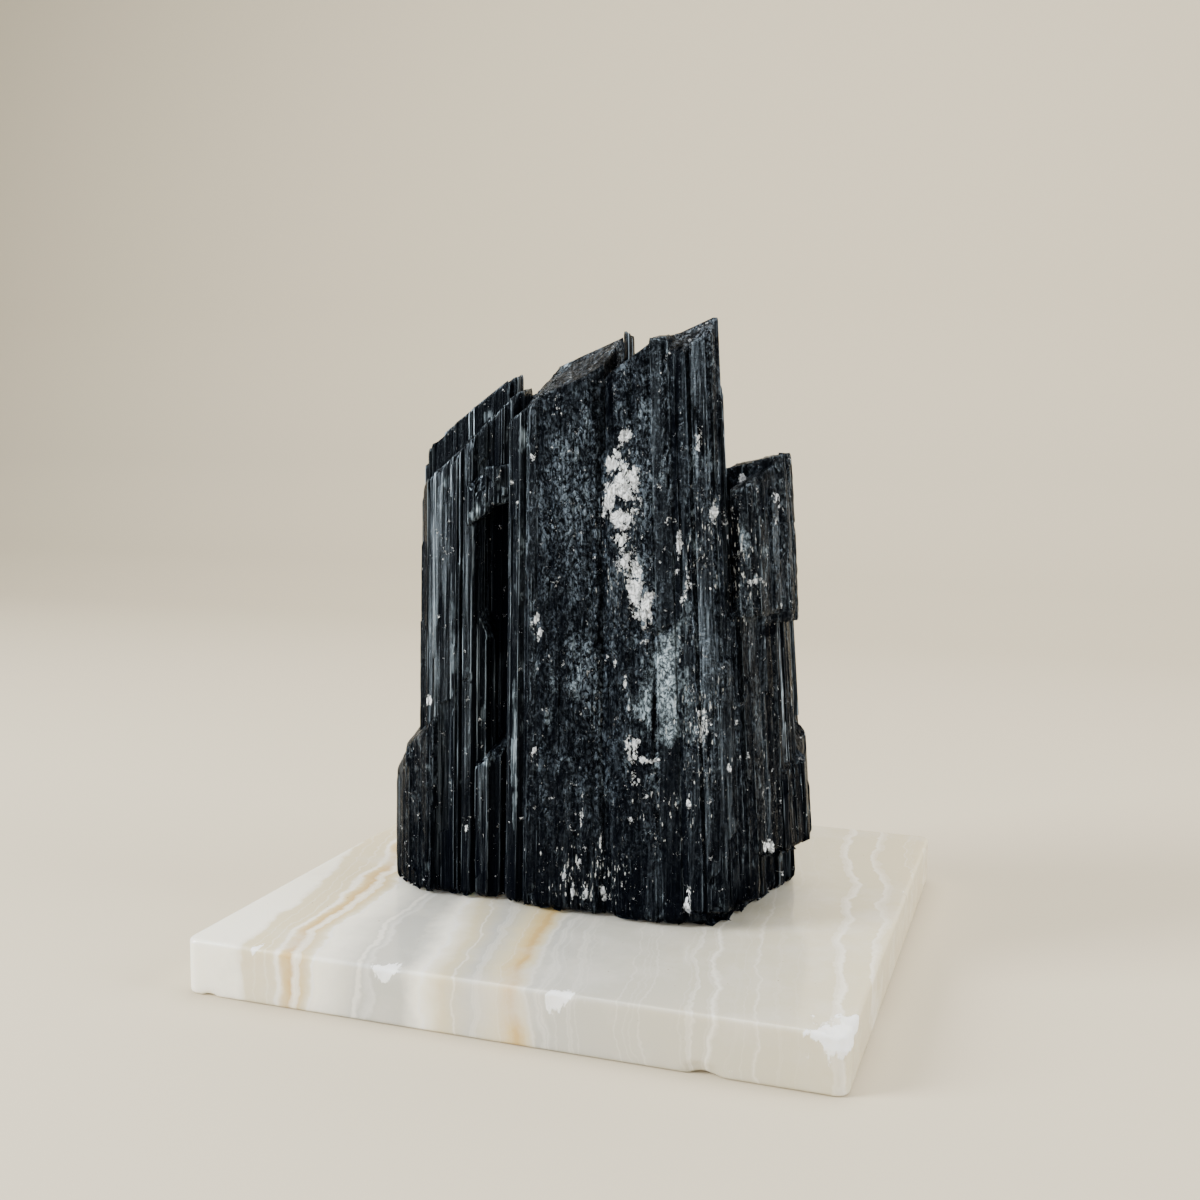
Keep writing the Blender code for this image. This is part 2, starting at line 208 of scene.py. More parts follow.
def chipped(points):
    """The slab's points sunk in at its chips by depth * (1 - distance / reach)**0.6, with ragged borders."""
    sunk = np.zeros(len(points))
    for x, y, z, reach, depth, _ in SLAB_CHIPS:
        away = np.linalg.norm((points - (x, y, z)) * (1, 1, CHIP_SQUASH), axis=1)
        ragged = away / reach + CHIP_RAGGED * layered_noise(*(points.T / CHIP_GRAIN), seed=71)
        sunk = np.maximum(sunk, depth * np.clip(1 - ragged, 0, 1) ** 0.6)
    inward = -points * (1, 1, 0)
    inward /= np.linalg.norm(inward, axis=1, keepdims=True) + 1e-9
    inward[:, 2] = np.where(points[:, 2] > (slab_high[2] - slab_low[2]) / 2, -CHIP_DROP, CHIP_DROP)
    points = points + inward * sunk[:, None] * 0.75
    points[:, 2] = np.maximum(points[:, 2], slab_low[2])
    return points


def slab_surface():
    """The slab as a profile carried round its outline: from the middle of the underside out to the edge, up
    over its edges, and back in to the middle of the top, with its chips sunk in."""
    path, facing = rounded_square(slab_low, slab_high, SLAB_CORNER, SLAB_SIDE_STEP)
    inset, height = slab_profile()
    edge = path[:, None, :] - facing[:, None, :] * inset[None, :, None]
    scale = SLAB_RINGS[None, :, None]
    flat = np.concatenate([edge[:, :1] * scale, edge, (edge[:, -1:] * scale)[:, ::-1]], axis=1)
    z = slab_low[2] + np.pad(height, len(SLAB_RINGS), mode="edge")
    points = np.concatenate([flat, np.broadcast_to(z[None, :, None], flat.shape[:2] + (1,))], axis=2)
    poles = np.array([[0, 0, slab_high[2]], [0, 0, slab_low[2]]])
    return np.concatenate([chipped(points.reshape(-1, 3)), poles]), *closed_faces(*flat.shape[:2])


def bruised_places(mesh):
    """How bruised each point of the slab is: white at the chips, fading within their reach."""
    points = mesh_points(mesh)
    found = np.zeros(len(points))
    for x, y, z, reach, _, bruise in SLAB_CHIPS:
        away = np.linalg.norm(points - (x, y, z), axis=1) / (1.1 * reach)
        found = np.maximum(found, bruise * np.exp(-(away ** 2)))
    return found


def set_inputs(node, inputs):
    """Sets the sockets of a shader node by title or number, to plain values or to links from a Value."""
    for key, value in inputs.items():
        if isinstance(value, Value):
            value.tree.links.new(value.socket, node.inputs[key])
        else:
            node.inputs[key].default_value = value


class Value:
    """The output of a new shader node, whose properties are the settings. It is added and multiplied as a
    number is, and each such step makes a node of its own."""

    def __init__(self, tree, kind, inputs, output=0, **settings):
        self.tree = tree
        self.node = tree.nodes.new(kind)
        for name, value in settings.items():
            setattr(self.node, name, value)
        set_inputs(self.node, inputs)
        self.socket = self.node.outputs[output]

    def maths(self, operation, other=0.0):
        """The result of one operation on this value and another."""
        return Value(self.tree, "ShaderNodeMath", {0: self, 1: other}, operation=operation)

    def __add__(self, other):
        return self.maths("ADD", other)

    def __sub__(self, other):
        return self.maths("SUBTRACT", other)

    def __mul__(self, other):
        return self.maths("MULTIPLY", other)

    def __pow__(self, other):
        return self.maths("POWER", other)

    def __abs__(self):
        return self.maths("ABSOLUTE")

    def remap(self, low, high, to_low=0.0, to_high=1.0):
        """This value moved from the range low..high to to_low..to_high, and held inside it."""
        inputs = {"Value": self, "From Min": low, "From Max": high, "To Min": to_low, "To Max": to_high}
        return Value(self.tree, "ShaderNodeMapRange", inputs)

    def along(self, axis):
        """One coordinate of this place."""
        return Value(self.tree, "ShaderNodeSeparateXYZ", {0: self}, axis)

    def noise(self, scale, detail, roughness, stretch=(1, 1, 1), distortion=0.0):
        """Noise at this place, from about 0.2 to 0.8. A small factor of stretch draws it out on its axis."""
        place = Value(self.tree, "ShaderNodeVectorMath", {0: self, 1: stretch}, operation="MULTIPLY")
        inputs = {"Vector": place, "Scale": scale, "Detail": detail, "Roughness": roughness,
                  "Distortion": distortion}
        return Value(self.tree, "ShaderNodeTexNoise", inputs)

    def between(self, first, second):
        """Two colours mixed: the first where this value is 0, the second where it is 1."""
        return Value(self.tree, "ShaderNodeMix", {0: self, 6: first, 7: second}, 2, data_type="RGBA")

    def blend(self, first, second):
        """Two numbers mixed in the same way."""
        return Value(self.tree, "ShaderNodeMix", {0: self, 2: first, 3: second}, data_type="FLOAT")


def new_material(name):
    """A new material and its shader."""
    material = bpy.data.materials.new(name)
    material.use_nodes = True
    return material, material.node_tree.nodes["Principled BSDF"]


def place_in(material):
    """The Value of the place that each point has on its object."""
    return Value(material.node_tree, "ShaderNodeTexCoord", {}, "Object")


def stored(place, name):
    """The Value of the numbers stored on the mesh under a name."""
    return Value(place.tree, "ShaderNodeAttribute", {}, "Fac", attribute_name=name)


def colour_bands(value, stops):
    """A colour ramp over a value in metres, from stops of a place in mm and a colour."""
    first, last = stops[0][0], stops[-1][0]
    ramp = Value(value.tree, "ShaderNodeValToRGB", {0: value.remap(first * MM, last * MM)})
    for number, (place, colour) in enumerate(stops):
        elements = ramp.node.color_ramp.elements
        element = elements[number] if number < 2 else elements.new(0.5)
        element.position = (place - first) / (last - first)
        element.color = (*colour, 1.0)
    return ramp


def onyx_material():
    """Banded onyx: bands by X + lean * Y, bent by slow and by jagged noise, with thin white growth lines,
    milky clouds, white bruises round the chips, and light that spreads below a polished surface."""
    material, shader = new_material("banded onyx polished")
    place = place_in(material)
    across = place.along("X") + place.along("Y") * ONYX_LEAN
    across += place.noise(16.0, 2.0, 0.5).remap(0, 1, -0.009, 0.009)
    across += place.noise(75.0, 4.0, 0.6).remap(0, 1, -0.004, 0.004)
    growth = {"W": across, "Scale": 210.0, "Detail": 3.0, "Roughness": 0.7}
    growth = Value(place.tree, "ShaderNodeTexNoise", growth, noise_dimensions="1D")
    colour = growth.remap(0.55, 0.76, 0.0, 0.7).between(colour_bands(across, ONYX_BANDS), ONYX_GROWTH)
    stops = [(at + half, (1 - abs(half) / ONYX_LINE_HALF,) * 3)
             for at in ONYX_LINES for half in (-ONYX_LINE_HALF, 0, ONYX_LINE_HALF)]
    lines = colour_bands(across, [(-90, (0, 0, 0)), *stops, (90, (0, 0, 0))])
    colour = (lines * 0.8).between(colour, ONYX_LINE)
    colour = place.noise(45.0, 6.0, 0.62).remap(0.5, 0.72, 0.0, 0.6).between(colour, ONYX_CLOUD)
    colour = place.noise(900.0, 1.0, 0.5).remap(0.79, 0.82, 0.0, 0.7).between(colour, ONYX_SPECK)
    shards = place.noise(480.0, 4.0, 0.6, (1, 0.4, 0.45)).remap(0.3, 0.7, -0.4, 0.4)
    bruise = (stored(place, "bruised") + shards).remap(0.4, 0.55, 0.0, 0.85)
    height = lines * 0.15 + place.noise(700.0, 5.0, 0.65) * bruise
    relief = {"Strength": 0.6, "Distance": 0.0004, "Height": height}
    set_inputs(shader, {
        "Base Color": bruise.between(colour, ONYX_BRUISE),
        "Roughness": place.noise(180.0, 5.0, 0.6).remap(0.3, 0.7, 0.09, 0.2).maths("MAXIMUM", bruise * 0.6),
        "Normal": Value(place.tree, "ShaderNodeBump", relief),
        "IOR": 1.55,
        "Subsurface Weight": 0.3,
        "Subsurface Radius": (1.0, 0.85, 0.62),
        "Subsurface Scale": 0.005,
    })
    return material


slab = new_mesh_object("onyx_slab_polished", *slab_surface())
set_values(slab.data, "bruised", "POINT", bruised_places(slab.data))
slab.data.materials.append(onyx_material())
slab.data.shade_smooth()
slab.data.set_sharp_from_angle(angle=math.radians(SLAB_SHARP_DEGREES))
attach(slab, "root")
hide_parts("onyx_slab")

# The tourmaline.
# One bundle of black tourmaline crystals grown side by side: long prisms striated along their length,
# glassy on the left, etched and dull on the broad front, with slanting stepped breaks at the top.

FOOT = SLAB_TOP + 0.3
OUTLINE_HEIGHT = 80.0
SPREAD_FROM_X = -15.0
SPREAD_X = 0.0013
SPREAD_Y = 0.0009
RIB_PITCH = 4.2
RIB_ROOT = 1.6
RIB_SEED = 41
# How far below its crystal's break a rib ends and how far above the foot it starts, in mm, and how often
RIB_DROPS, RIB_DROP_ODDS = (0.6, 2.0, 5.0, 11.0), (0.3, 0.3, 0.25, 0.15)
RIB_STARTS, RIB_START_ODDS = (0.0, 1.2, 3.0), (0.6, 0.25, 0.15)
RIB_LEAST_TALL = 6.0
STONE_SHARP_DEGREES = 32
STONE_BLACK = (0.001, 0.0014, 0.0026, 1)
STONE_SLATE = (0.038, 0.052, 0.072, 1)
# A painted highlight colour, for the sheen patches
PAINTED_SHEEN_COLOUR = (0.66, 0.82, 0.92, 1)
# A painted highlight colour, for edges
PAINTED_EDGE_HIGHLIGHT = (0.36, 0.44, 0.50, 1)
# Pale flecks, partly the stone's own and partly painted glints
FLECK_AND_GLINT_COLOUR = (0.66, 0.67, 0.64, 1)
# Grey in the crust's pits and creases, partly painted shade, and the crust's white
PAINTED_CRUST_CREASE_SHADE = (0.4, 0.41, 0.42, 1)
CRUST_WHITE = (0.97, 0.99, 1.0, 1)

# Each crystal: outline corners in mm at OUTLINE_HEIGHT, how many sides from the first corner are open, how
# far its ribs stand out, a point on its break, how steeply the break rises along X and Y, its foot, how
# steeply the foot rises along X, how far the break is dished, its finish and the group that it belongs to.
USUAL_CRYSTAL = dict(open_sides=0, stand=0, foot=FOOT, foot_rise=0, dish=0, finish="striated")
CRYSTALS = {
    "left front": dict(
        outline=[(-44.2, -9), (-42.9, -17), (-38.2, -22.2), (-26.4, -23.5), (-25.6, -14), (-30, -8)],
        open_sides=4, stand=0.8, peak=(-40, -22, 116.4), rise=(0.86, 0.2), group="left"),
    "over groove left": dict(
        outline=[(-29, -22.6), (-22.6, -22.9), (-22, -11), (-29, -11)],
        open_sides=1, stand=0.8, peak=(-28, -22, 127), rise=(0.96, 0.2), foot=108.6, foot_rise=0.65,
        group="left"),
    "over groove right": dict(
        outline=[(-23.4, -22.5), (-17.4, -22.9), (-16.2, -19), (-16.6, -11), (-23, -11)],
        open_sides=1, stand=0.5, peak=(-28, -22, 126.6), rise=(0.96, 0.2), foot=112.2, foot_rise=0.3,
        group="left"),
    "apron left": dict(
        outline=[(-28.4, -22.6), (-26.8, -24.6), (-22.9, -25.1), (-22.4, -21), (-28, -20)],
        open_sides=2, stand=0.5, peak=(-26, -25, 116.9), rise=(0.84, 0.15), foot=107.2, foot_rise=0.65,
        group="left"),
    "apron right": dict(
        outline=[(-23.2, -24.7), (-18.6, -25), (-17.2, -21), (-23, -20)],
        open_sides=1, stand=0.4, peak=(-22, -25, 120.4), rise=(0.1, 0.15), foot=111, foot_rise=0.3,
        group="left"),
    "groove floor": dict(
        outline=[(-28.5, -15.5), (-21, -14.5), (-16, -15.5), (-15, -5), (-29, -5)],
        open_sides=2, stand=0.5, peak=(-22, -14, 130), rise=(0.8, 0.1), group="left"),
    "groove rib": dict(
        outline=[(-27, -20.2), (-25.2, -23.2), (-22.4, -23.6), (-19.6, -22.2), (-18.4, -19), (-20, -13),
                 (-26, -13)],
        open_sides=4, peak=(-23.5, -23, 48.5), rise=(0.7, 0.5), group="left"),
    "bright ridge": dict(
        outline=[(-18.5, -20), (-17, -23.2), (-14.2, -24.9), (-12.2, -23.6), (-11.4, -18), (-12, -10),
                 (-17, -10)],
        open_sides=4, peak=(-14.5, -25, 132.8), rise=(0.75, 0.3), group="left"),
    "left blade": dict(
        outline=[(-42.4, -12.6), (-33, -13.6), (-21.9, -12.4), (-20.4, -7), (-31, 5), (-40, 6),
                 (-46.6, 0), (-45.6, -7)],
        peak=(-46.8, -5, 122.9), rise=(0.78, 0.06), group="left"),
    "left blade side": dict(
        outline=[(-46.8, 6), (-47.4, -1), (-45.6, -9), (-38, -8), (-37, 5)],
        open_sides=2, stand=0.6, peak=(-46.8, -5, 121.8), rise=(0.6, 0.1), group="left"),
    "hollow behind": dict(
        outline=[(-24, -11), (-14, -12), (-13, 0), (-21, 2)],
        peak=(-18.6, -5, 137.2), rise=(0.5, 0.1), group="left"),
    "shoulder": dict(
        outline=[(-13.4, -21.5), (-12.2, -24.6), (-8.2, -25.4), (-7, -10), (-12, -7.5)],
        open_sides=2, stand=0.35, peak=(-10.9, -25, 135.2), rise=(0.7, 0.5),
        group="middle", finish="furrowed"),
    "broad face": dict(
        outline=[(-9, -25.2), (-2, -25.9), (5.2, -25.5), (8, -23.5), (8.6, -15), (9.2, -9), (-9.5, -9)],
        open_sides=3, stand=0.35, peak=(-8.4, -25, 137.2), rise=(0.42, 0.52), dish=0.8,
        group="middle", finish="etched"),
    "thin tip": dict(
        outline=[(8, -7.2), (10.6, -7.8), (10.8, -4.8), (8.4, -4.2)],
        peak=(9, -6, 152.6), rise=(-0.3, -0.2), group="peak"),
    "rough shoulder": dict(
        outline=[(9, -23.4), (10.2, -25.3), (15.9, -25.9), (21.2, -25.8), (21, -14), (16, -6), (11.5, -12)],
        open_sides=3, stand=0.35, peak=(9, -24, 143.2), rise=(0.7, 0.04), group="middle", finish="etched"),
    "dark panel": dict(
        outline=[(21, -25.3), (25.6, -25), (26.2, -14), (25, -8), (20.6, -8)],
        peak=(19.6, -24, 150.8), rise=(0.15, 0.08), group="peak", finish="smooth"),
    "dark panel edge": dict(
        outline=[(21.2, -25.9), (25.9, -25.3), (26, -16), (21, -15)],
        open_sides=1, peak=(22.7, -24, 150), rise=(-0.18, 0.05), group="peak", finish="smooth"),
    "peak": dict(
        outline=[(26.1, -25.3), (31.5, -26), (35.4, -24), (37, -19.4), (36.2, -17), (26.4, -17)],
        open_sides=3, stand=0.4, peak=(24, -25, 147.2), rise=(0.42, 0.62), foot=16.5, dish=1.5,
        group="peak", finish="furrowed"),
    "peak side": dict(
        outline=[(33.8, -23.6), (36.6, -20.8), (37.4, -16), (35, -10.5), (32.5, -16)],
        open_sides=2, stand=0.25, peak=(35, -20, 139), rise=(-1.1, -0.4), foot=21, group="peak"),
    "behind peak": dict(
        outline=[(25.5, -18.5), (34.6, -18.5), (33.2, -11), (30.6, -3), (26, -2)],
        open_sides=2, stand=0.5, peak=(30, -18.5, 151), rise=(0.25, -0.35), group="peak"),
    "right block front": dict(
        outline=[(39.6, -20.6), (43.9, -17.2), (46.3, -11.5), (48.5, -3.4), (45.5, -1), (43.2, -8),
                 (39.4, -14.5)],
        open_sides=3, stand=0.5, peak=(36.2, -20, 116), rise=(0.22, 0.29), foot=86.5,
        group="right", finish="furrowed"),
    "right block back": dict(
        outline=[(49.2, -4.2), (49.3, 3), (46.6, 9), (34, 10), (33.5, -9), (42.8, -10)],
        open_sides=3, stand=0.5, peak=(43.6, 2, 124.2), rise=(0.24, 0.05), foot=84,
        group="right", finish="furrowed"),
    "right wall front": dict(
        outline=[(34.4, -23.1), (38.3, -19.2), (41, -15.8), (39, -6), (32, -8)],
        open_sides=2, stand=0.7, peak=(40, -15, 88.6), rise=(0.2, 0.1), foot=18,
        group="right", finish="furrowed"),
    "right wall corner": dict(
        outline=[(40.4, -16.4), (42.6, -13), (44.8, -7.6), (42, -1), (36, -8)],
        open_sides=2, stand=0.7, peak=(40, -15, 87.2), rise=(0.2, 0.1), foot=28.5,
        group="right", finish="furrowed"),
    "right wall back": dict(
        outline=[(42.6, -9.8), (44.8, -2.8), (45.7, 7), (44.2, 18), (41.8, 26), (36, 18), (38, -4)],
        open_sides=4, stand=0.4, peak=(46, 0, 90), rise=(-0.4, 0.3), foot=27, group="right"),
    "right wall low": dict(
        outline=[(44.4, -6), (46.8, -0.5), (47.7, 7.5), (46, 17.5), (38, 16), (38, -4)],
        open_sides=3, stand=0.4, peak=(46, 0, 51), rise=(-1, 0.3), foot=27, group="right"),
    "right foot": dict(
        outline=[(30.4, -22.8), (33, -17.6), (35.6, -12), (38.2, 1.8), (39.6, 11), (40.4, 19), (38, 25),
                 (28, 12)],
        open_sides=6, stand=0.5, peak=(36, -10, 78), rise=(0.1, 0.1), group="right", finish="furrowed"),
    "lower front": dict(
        outline=[(-12.6, -21), (-11.8, -23.8), (0, -24.4), (14, -24.5), (26, -24.2), (30.6, -22.8),
                 (28, -12), (-8, -12)],
        peak=(10, -20, 127), rise=(0.3, 0), group="middle", finish="etched"),
    "lower left lump": dict(
        outline=[(-51.6, -3.5), (-53, -9), (-51.4, -15), (-46.4, -19.4), (-40, -12), (-42, -1)],
        open_sides=3, stand=0.5, peak=(-48.2, -15, 47.2), rise=(1.5, 0.3), group="left", finish="smooth"),
    "lower left front": dict(
        outline=[(-48.4, -15.8), (-44.4, -21), (-36.8, -24.6), (-34, -18), (-40, -6), (-47, -7)],
        open_sides=2, stand=0.6, peak=(-44, -18, 52.6), rise=(1.1, 0.5), group="left", finish="furrowed"),
    "core": dict(
        outline=[(-30, -9), (-8, -14), (14, -15), (28, -14), (29, 10), (20, 22), (-22, 20), (-38, 8)],
        peak=(0, 0, 124), rise=(0.35, -0.1), group="back", finish="smooth"),
    "back left": dict(
        outline=[(-36, 26.6), (-44, 18), (-45.8, 4), (-36, -4), (-24, 4), (-22, 22)],
        open_sides=2, stand=0.9, peak=(-36, 12, 119), rise=(0.62, -0.1), group="back"),
    "back left middle": dict(
        outline=[(-14, 31.8), (-27, 29.5), (-36.6, 24), (-30, 2), (-8, 0), (-6, 24)],
        open_sides=2, stand=0.9, peak=(-20, 14, 131), rise=(0.55, -0.25), group="back"),
    "back middle": dict(
        outline=[(12, 33), (-2, 33.6), (-15, 30.4), (-14, 2), (-8, -9.5), (6, -9.5), (16, 18)],
        open_sides=2, stand=0.9, peak=(2, 2, 143), rise=(0.35, -0.42), group="back"),
    "back right middle": dict(
        outline=[(25, 29.8), (20, 32.6), (11, 32), (10, 4), (12, -9), (26, -8), (30, 8)],
        open_sides=2, stand=0.9, peak=(22, -4, 147.6), rise=(0.15, -0.5), group="back"),
    "back right": dict(
        outline=[(40.8, 10), (40.2, 22), (35.2, 29.2), (25, 29.8), (27, 8), (33, -6), (37, -2)],
        open_sides=3, stand=0.8, peak=(38, 12, 116), rise=(0.25, -0.3), group="back"),
    "back left step": dict(
        outline=[(-39.6, 23.4), (-45.2, 14), (-46.6, 4), (-42, 0), (-38, 16)],
        open_sides=2, stand=0.7, peak=(-44, 10, 92), rise=(0.9, 0.2), group="back"),
    "back left blade": dict(
        outline=[(-24, 30.4), (-35.4, 27.4), (-34, 19), (-24, 20)],
        open_sides=1, stand=0.6, peak=(-30, 26, 131), rise=(0.9, 0.3), group="back"),
    "back middle blade": dict(
        outline=[(8.5, 34.4), (-1.5, 34.8), (-4, 25), (6, 23)],
        open_sides=1, stand=0.6, peak=(3, 30, 112), rise=(0.7, -0.5), group="back"),
    "back middle spine": dict(
        outline=[(-6, 33.6), (-15.4, 31.8), (-13, 22), (-6, 24)],
        open_sides=1, stand=0.6, peak=(-10, 28, 136), rise=(0.8, 0.3), group="back"),
    "back right blade": dict(
        outline=[(29.4, 31.2), (20.8, 33.6), (19, 22), (28, 21)],
        open_sides=1, stand=0.6, peak=(25, 28, 104), rise=(0.6, -0.6), group="back"),
    "back right step": dict(
        outline=[(41.8, 14), (40.8, 22.8), (37.2, 28.2), (32, 24), (35, 12)],
        open_sides=2, stand=0.6, peak=(39, 20, 84), rise=(-0.4, -0.5), group="back"),
    "groove side": dict(
        outline=[(-26.4, -18.4), (-25.8, -21.4), (-24, -21.9), (-22.7, -19.6), (-22.8, -13), (-26, -13)],
        open_sides=4, peak=(-24.6, -21, 82), rise=(-2.2, 0.3), group="left"),
}

# What each finish has in mm: the usual width of a striation, how far striations step in and out, how much
# they tilt, how round they are, how far and how often one steps along its length, the depth of etching, of
# furrows along the length and of gouges, and how etched it looks, from 0 to 1.
FINISHES = {
    "striated": dict(width=1.9, step=0.24, tilt=0.34, crown=0.05, ledge=0.32, ledges=0.45,
                     etch=0.06, furrow=0.06, gouge=0.15, etched=0.1),
    "furrowed": dict(width=2.6, step=0.16, tilt=0.16, crown=0.06, ledge=0.3, ledges=0.6,
                     etch=0.24, furrow=0.08, gouge=0.8, etched=0.5),
    "etched": dict(width=5.0, step=0.07, tilt=0.04, crown=0.02, ledge=0.14, ledges=0.3,
                   etch=0.26, furrow=0.14, gouge=0.9, etched=1.0),
    "smooth": dict(width=3.4, step=0.04, tilt=0.04, crown=0.02, ledge=0.06, ledges=0.1,
                   etch=0.10, furrow=0.05, gouge=0.25, etched=0.4),
}
# How finely each group of crystals is sampled, round its striations and up its rows, in mm
GROUPS = {
    "left": dict(side_step=0.36, row_step=0.95),
    "middle": dict(side_step=0.36, row_step=0.62),
    "peak": dict(side_step=0.36, row_step=0.8),
    "right": dict(side_step=0.36, row_step=0.85),
    "back": dict(side_step=0.7, row_step=1.6),
}
HIDDEN_STEP = 1.3
WIDTH_SPREAD = 0.95
LEDGE_PLACES = 4
EDGE_GAP = 0.03
CORNER_GAP = 0.3
FOOT_ROUND = 2.4
RAISED_FOOT = 60.0
RAISED_FOOT_ROUND = 0.4
RIM_WEAR = 1.2
# The share of striations whose rim gets a painted highlight
LIT_RIMS = 0.7
# How far short of the break striations end, the share that end well short, and how ragged their feet are
SHORT_SPREAD = 0.16
WELL_SHORT = 0.1
WELL_SHORT_BY = (0.6, 2.4)
FOOT_SPREAD = 0.25
FOOT_SWELL = 0.6
# How far a surface may lie from its crystal's outline, and how wide a crack is
DEEPEST = -2.0
HIGHEST = 0.75
CRACK_HALF = 0.5

# Cracks across the broad front, as x and z of the points they pass, in mm, and how deep they run
CRACKS = [
    ([(6.5, 79.5), (10.5, 83.6), (13.5, 82.4), (17, 83.8), (21, 82), (24.5, 84)], 0.9),
    ([(-8, 53.5), (-4.5, 51.8), (-1, 53), (2, 51.4)], 0.5),
    ([(20.6, 68), (21.2, 60), (20.4, 55), (21.4, 52.5)], 0.7),
    ([(12, 52), (16, 50.6), (20, 51.2), (24, 49.6)], 0.35),
    ([(24.9, 149), (25.3, 138), (25.1, 126), (25.5, 118)], 0.6),
]
# Patches on the surface: x, y, z of the middle, half width and half height in mm, and strength
WHITE_MINERAL = [
    (12.3, -25, 128.2, 1.2, 2.4, 0.95), (11, -25, 121.6, 3.2, 2.6, 1.1), (13.2, -25, 117, 3, 4.4, 1.2),
    (8.6, -25, 113.4, 1.9, 3.6, 1.05), (12.4, -25, 109, 3, 2.4, 1.15), (12.2, -25, 104, 2.6, 3.4, 0.62),
    (13.8, -25, 98.6, 2.8, 2.4, 0.85), (16, -25, 93, 2.1, 5.2, 1.05), (18.8, -25, 88, 1.9, 5, 0.9),
    (15.8, -26, 54.6, 1.5, 3, 1), (19.8, -26, 52.5, 2.6, 0.7, 0.95), (16.6, -26, 47, 1.4, 2.4, 0.6),
    (32.6, -26, 61.5, 1.9, 4.6, 0.62), (30.2, -25, 18.6, 0.9, 3.6, 0.95), (46.5, -13, 30.5, 1.3, 1.9, 0.9),
    (-8.8, -25, 84.6, 0.9, 1.6, 0.9), (-8.2, -25, 81.2, 1, 2.2, 0.95), (-8.9, -26, 52, 0.6, 1.6, 0.9),
    (-27.6, -23, 30.5, 0.5, 1.2, 0.85), (26.2, -25, 103.2, 0.9, 5.4, 0.62),
    (28.2, -25, 96.8, 0.7, 3.6, 0.7), (42.1, -17, 95.1, 1.1, 0.9, 0.95), (37, -9, 118.6, 0.9, 1.3, 1),
    (30.2, -24, 128, 0.7, 2.4, 0.7), (33.6, -22, 111, 0.7, 3.4, 0.62), (36.6, -16, 109, 1, 3.4, 0.66),
    (44.8, -9, 113.8, 0.6, 1.4, 0.8), (-0.4, -25, 22.8, 0.6, 1.6, 0.9), (3.2, -25, 25.2, 0.6, 2, 0.9),
    (4.8, -25, 18.6, 0.8, 2, 0.9), (1.7, -25, 19, 0.5, 2, 0.85), (9.1, -25, 18.6, 0.6, 2, 0.85),
    (3.6, -25, 37.4, 0.4, 4, 0.8), (8.2, -25, 31.2, 0.35, 3.4, 0.75), (30, -25, 44, 0.5, 2.4, 0.7),
    (38.6, -20, 52, 0.5, 1.6, 0.8), (-39.3, -22, 61.9, 0.9, 1.6, 0.7), (11.2, -25, 75.9, 0.4, 2.4, 0.7),
    (13.8, -25, 70.6, 0.4, 2.6, 0.7), (15, -25, 64.5, 0.4, 2.4, 0.7),
]
# Painted highlights: patches where a bright bluish sheen is painted into the colour, as on a lit facet or
# rim
PAINTED_SHEEN = [
    (23.4, -26, 73, 4.6, 10, 1), (18.8, -26, 66, 3.4, 14, 0.7), (25.2, -26, 61, 5, 8.6, 0.72),
    (41.4, -17, 103, 4, 13, 0.34), (30, -24, 108, 4.6, 16, 0.27), (14, -25, 137, 4, 8, 0.3),
    (-2, -25, 66, 6.5, 13, 0.22), (31, -26, 61, 3.6, 7, 0.36), (16.6, -25, 92, 3, 8, 0.4),
    (-14.8, -25, 54, 0.7, 11, 1.1), (-14.2, -25, 38, 0.5, 8, 0.8), (-27.3, -12, 132.6, 1.4, 2, 1),
    (-34.2, -22, 117.1, 1.4, 2.6, 0.7), (-12.7, -23, 127, 1.6, 3, 0.7), (-22.7, -24, 48.2, 1.2, 1.4, 0.9),
    (0.5, -25, 123.5, 1.4, 2.2, 0.6), (-31.6, -23, 74, 1, 18, 0.5), (29.2, -25, 110.9, 1.2, 1.8, 0.5),
    (-7.6, -9, 146.6, 3, 2, 0.8), (-26.6, -24, 109, 0.8, 0.9, 0.9), (-24.6, -25, 110.2, 0.9, 0.8, 0.9),
    (-22.4, -25, 111.2, 0.9, 0.7, 0.8), (-22.6, -12, 133.6, 1.2, 1.6, 0.9), (-35, -21, 120.6, 1.6, 1, 0.7),
    (-18.4, -20, 127, 0.6, 4, 0.6),
]
# Painted shade: patches where colour and shine are darkened nearly to black, in the groove, cracks and
# hollows
PAINTED_HOLLOW_SHADE = [
    (-21.4, -14, 92, 4.2, 22, 1.2), (-20.6, -14, 60, 2.4, 18, 0.9), (-26.4, -20, 36, 0.5, 24, 0.8),
    (37.6, -17, 101, 1.3, 13, 1.2), (36.6, -12, 113.5, 2.4, 4.5, 1.2), (39, -19, 20, 5.5, 4.5, 0.8),
    (-11.6, -22, 60, 0.7, 40, 0.7), (7.4, -18, 146.5, 1.2, 4.6, 1.2), (45, -8, 82.5, 3.4, 1.6, 1.1),
    (24.7, -25, 134, 0.5, 15, 0.8), (8.7, -24, 137, 0.9, 8, 0.8), (21, -25, 62, 0.4, 9, 0.9),
    (43, -8, 56, 7, 27, 0.55), (-43, -14, 86, 3.6, 36, 0.42), (22.9, -25, 136, 2.5, 13, 0.25),
    (-17.9, -20, 34, 0.6, 22, 0.8),
]
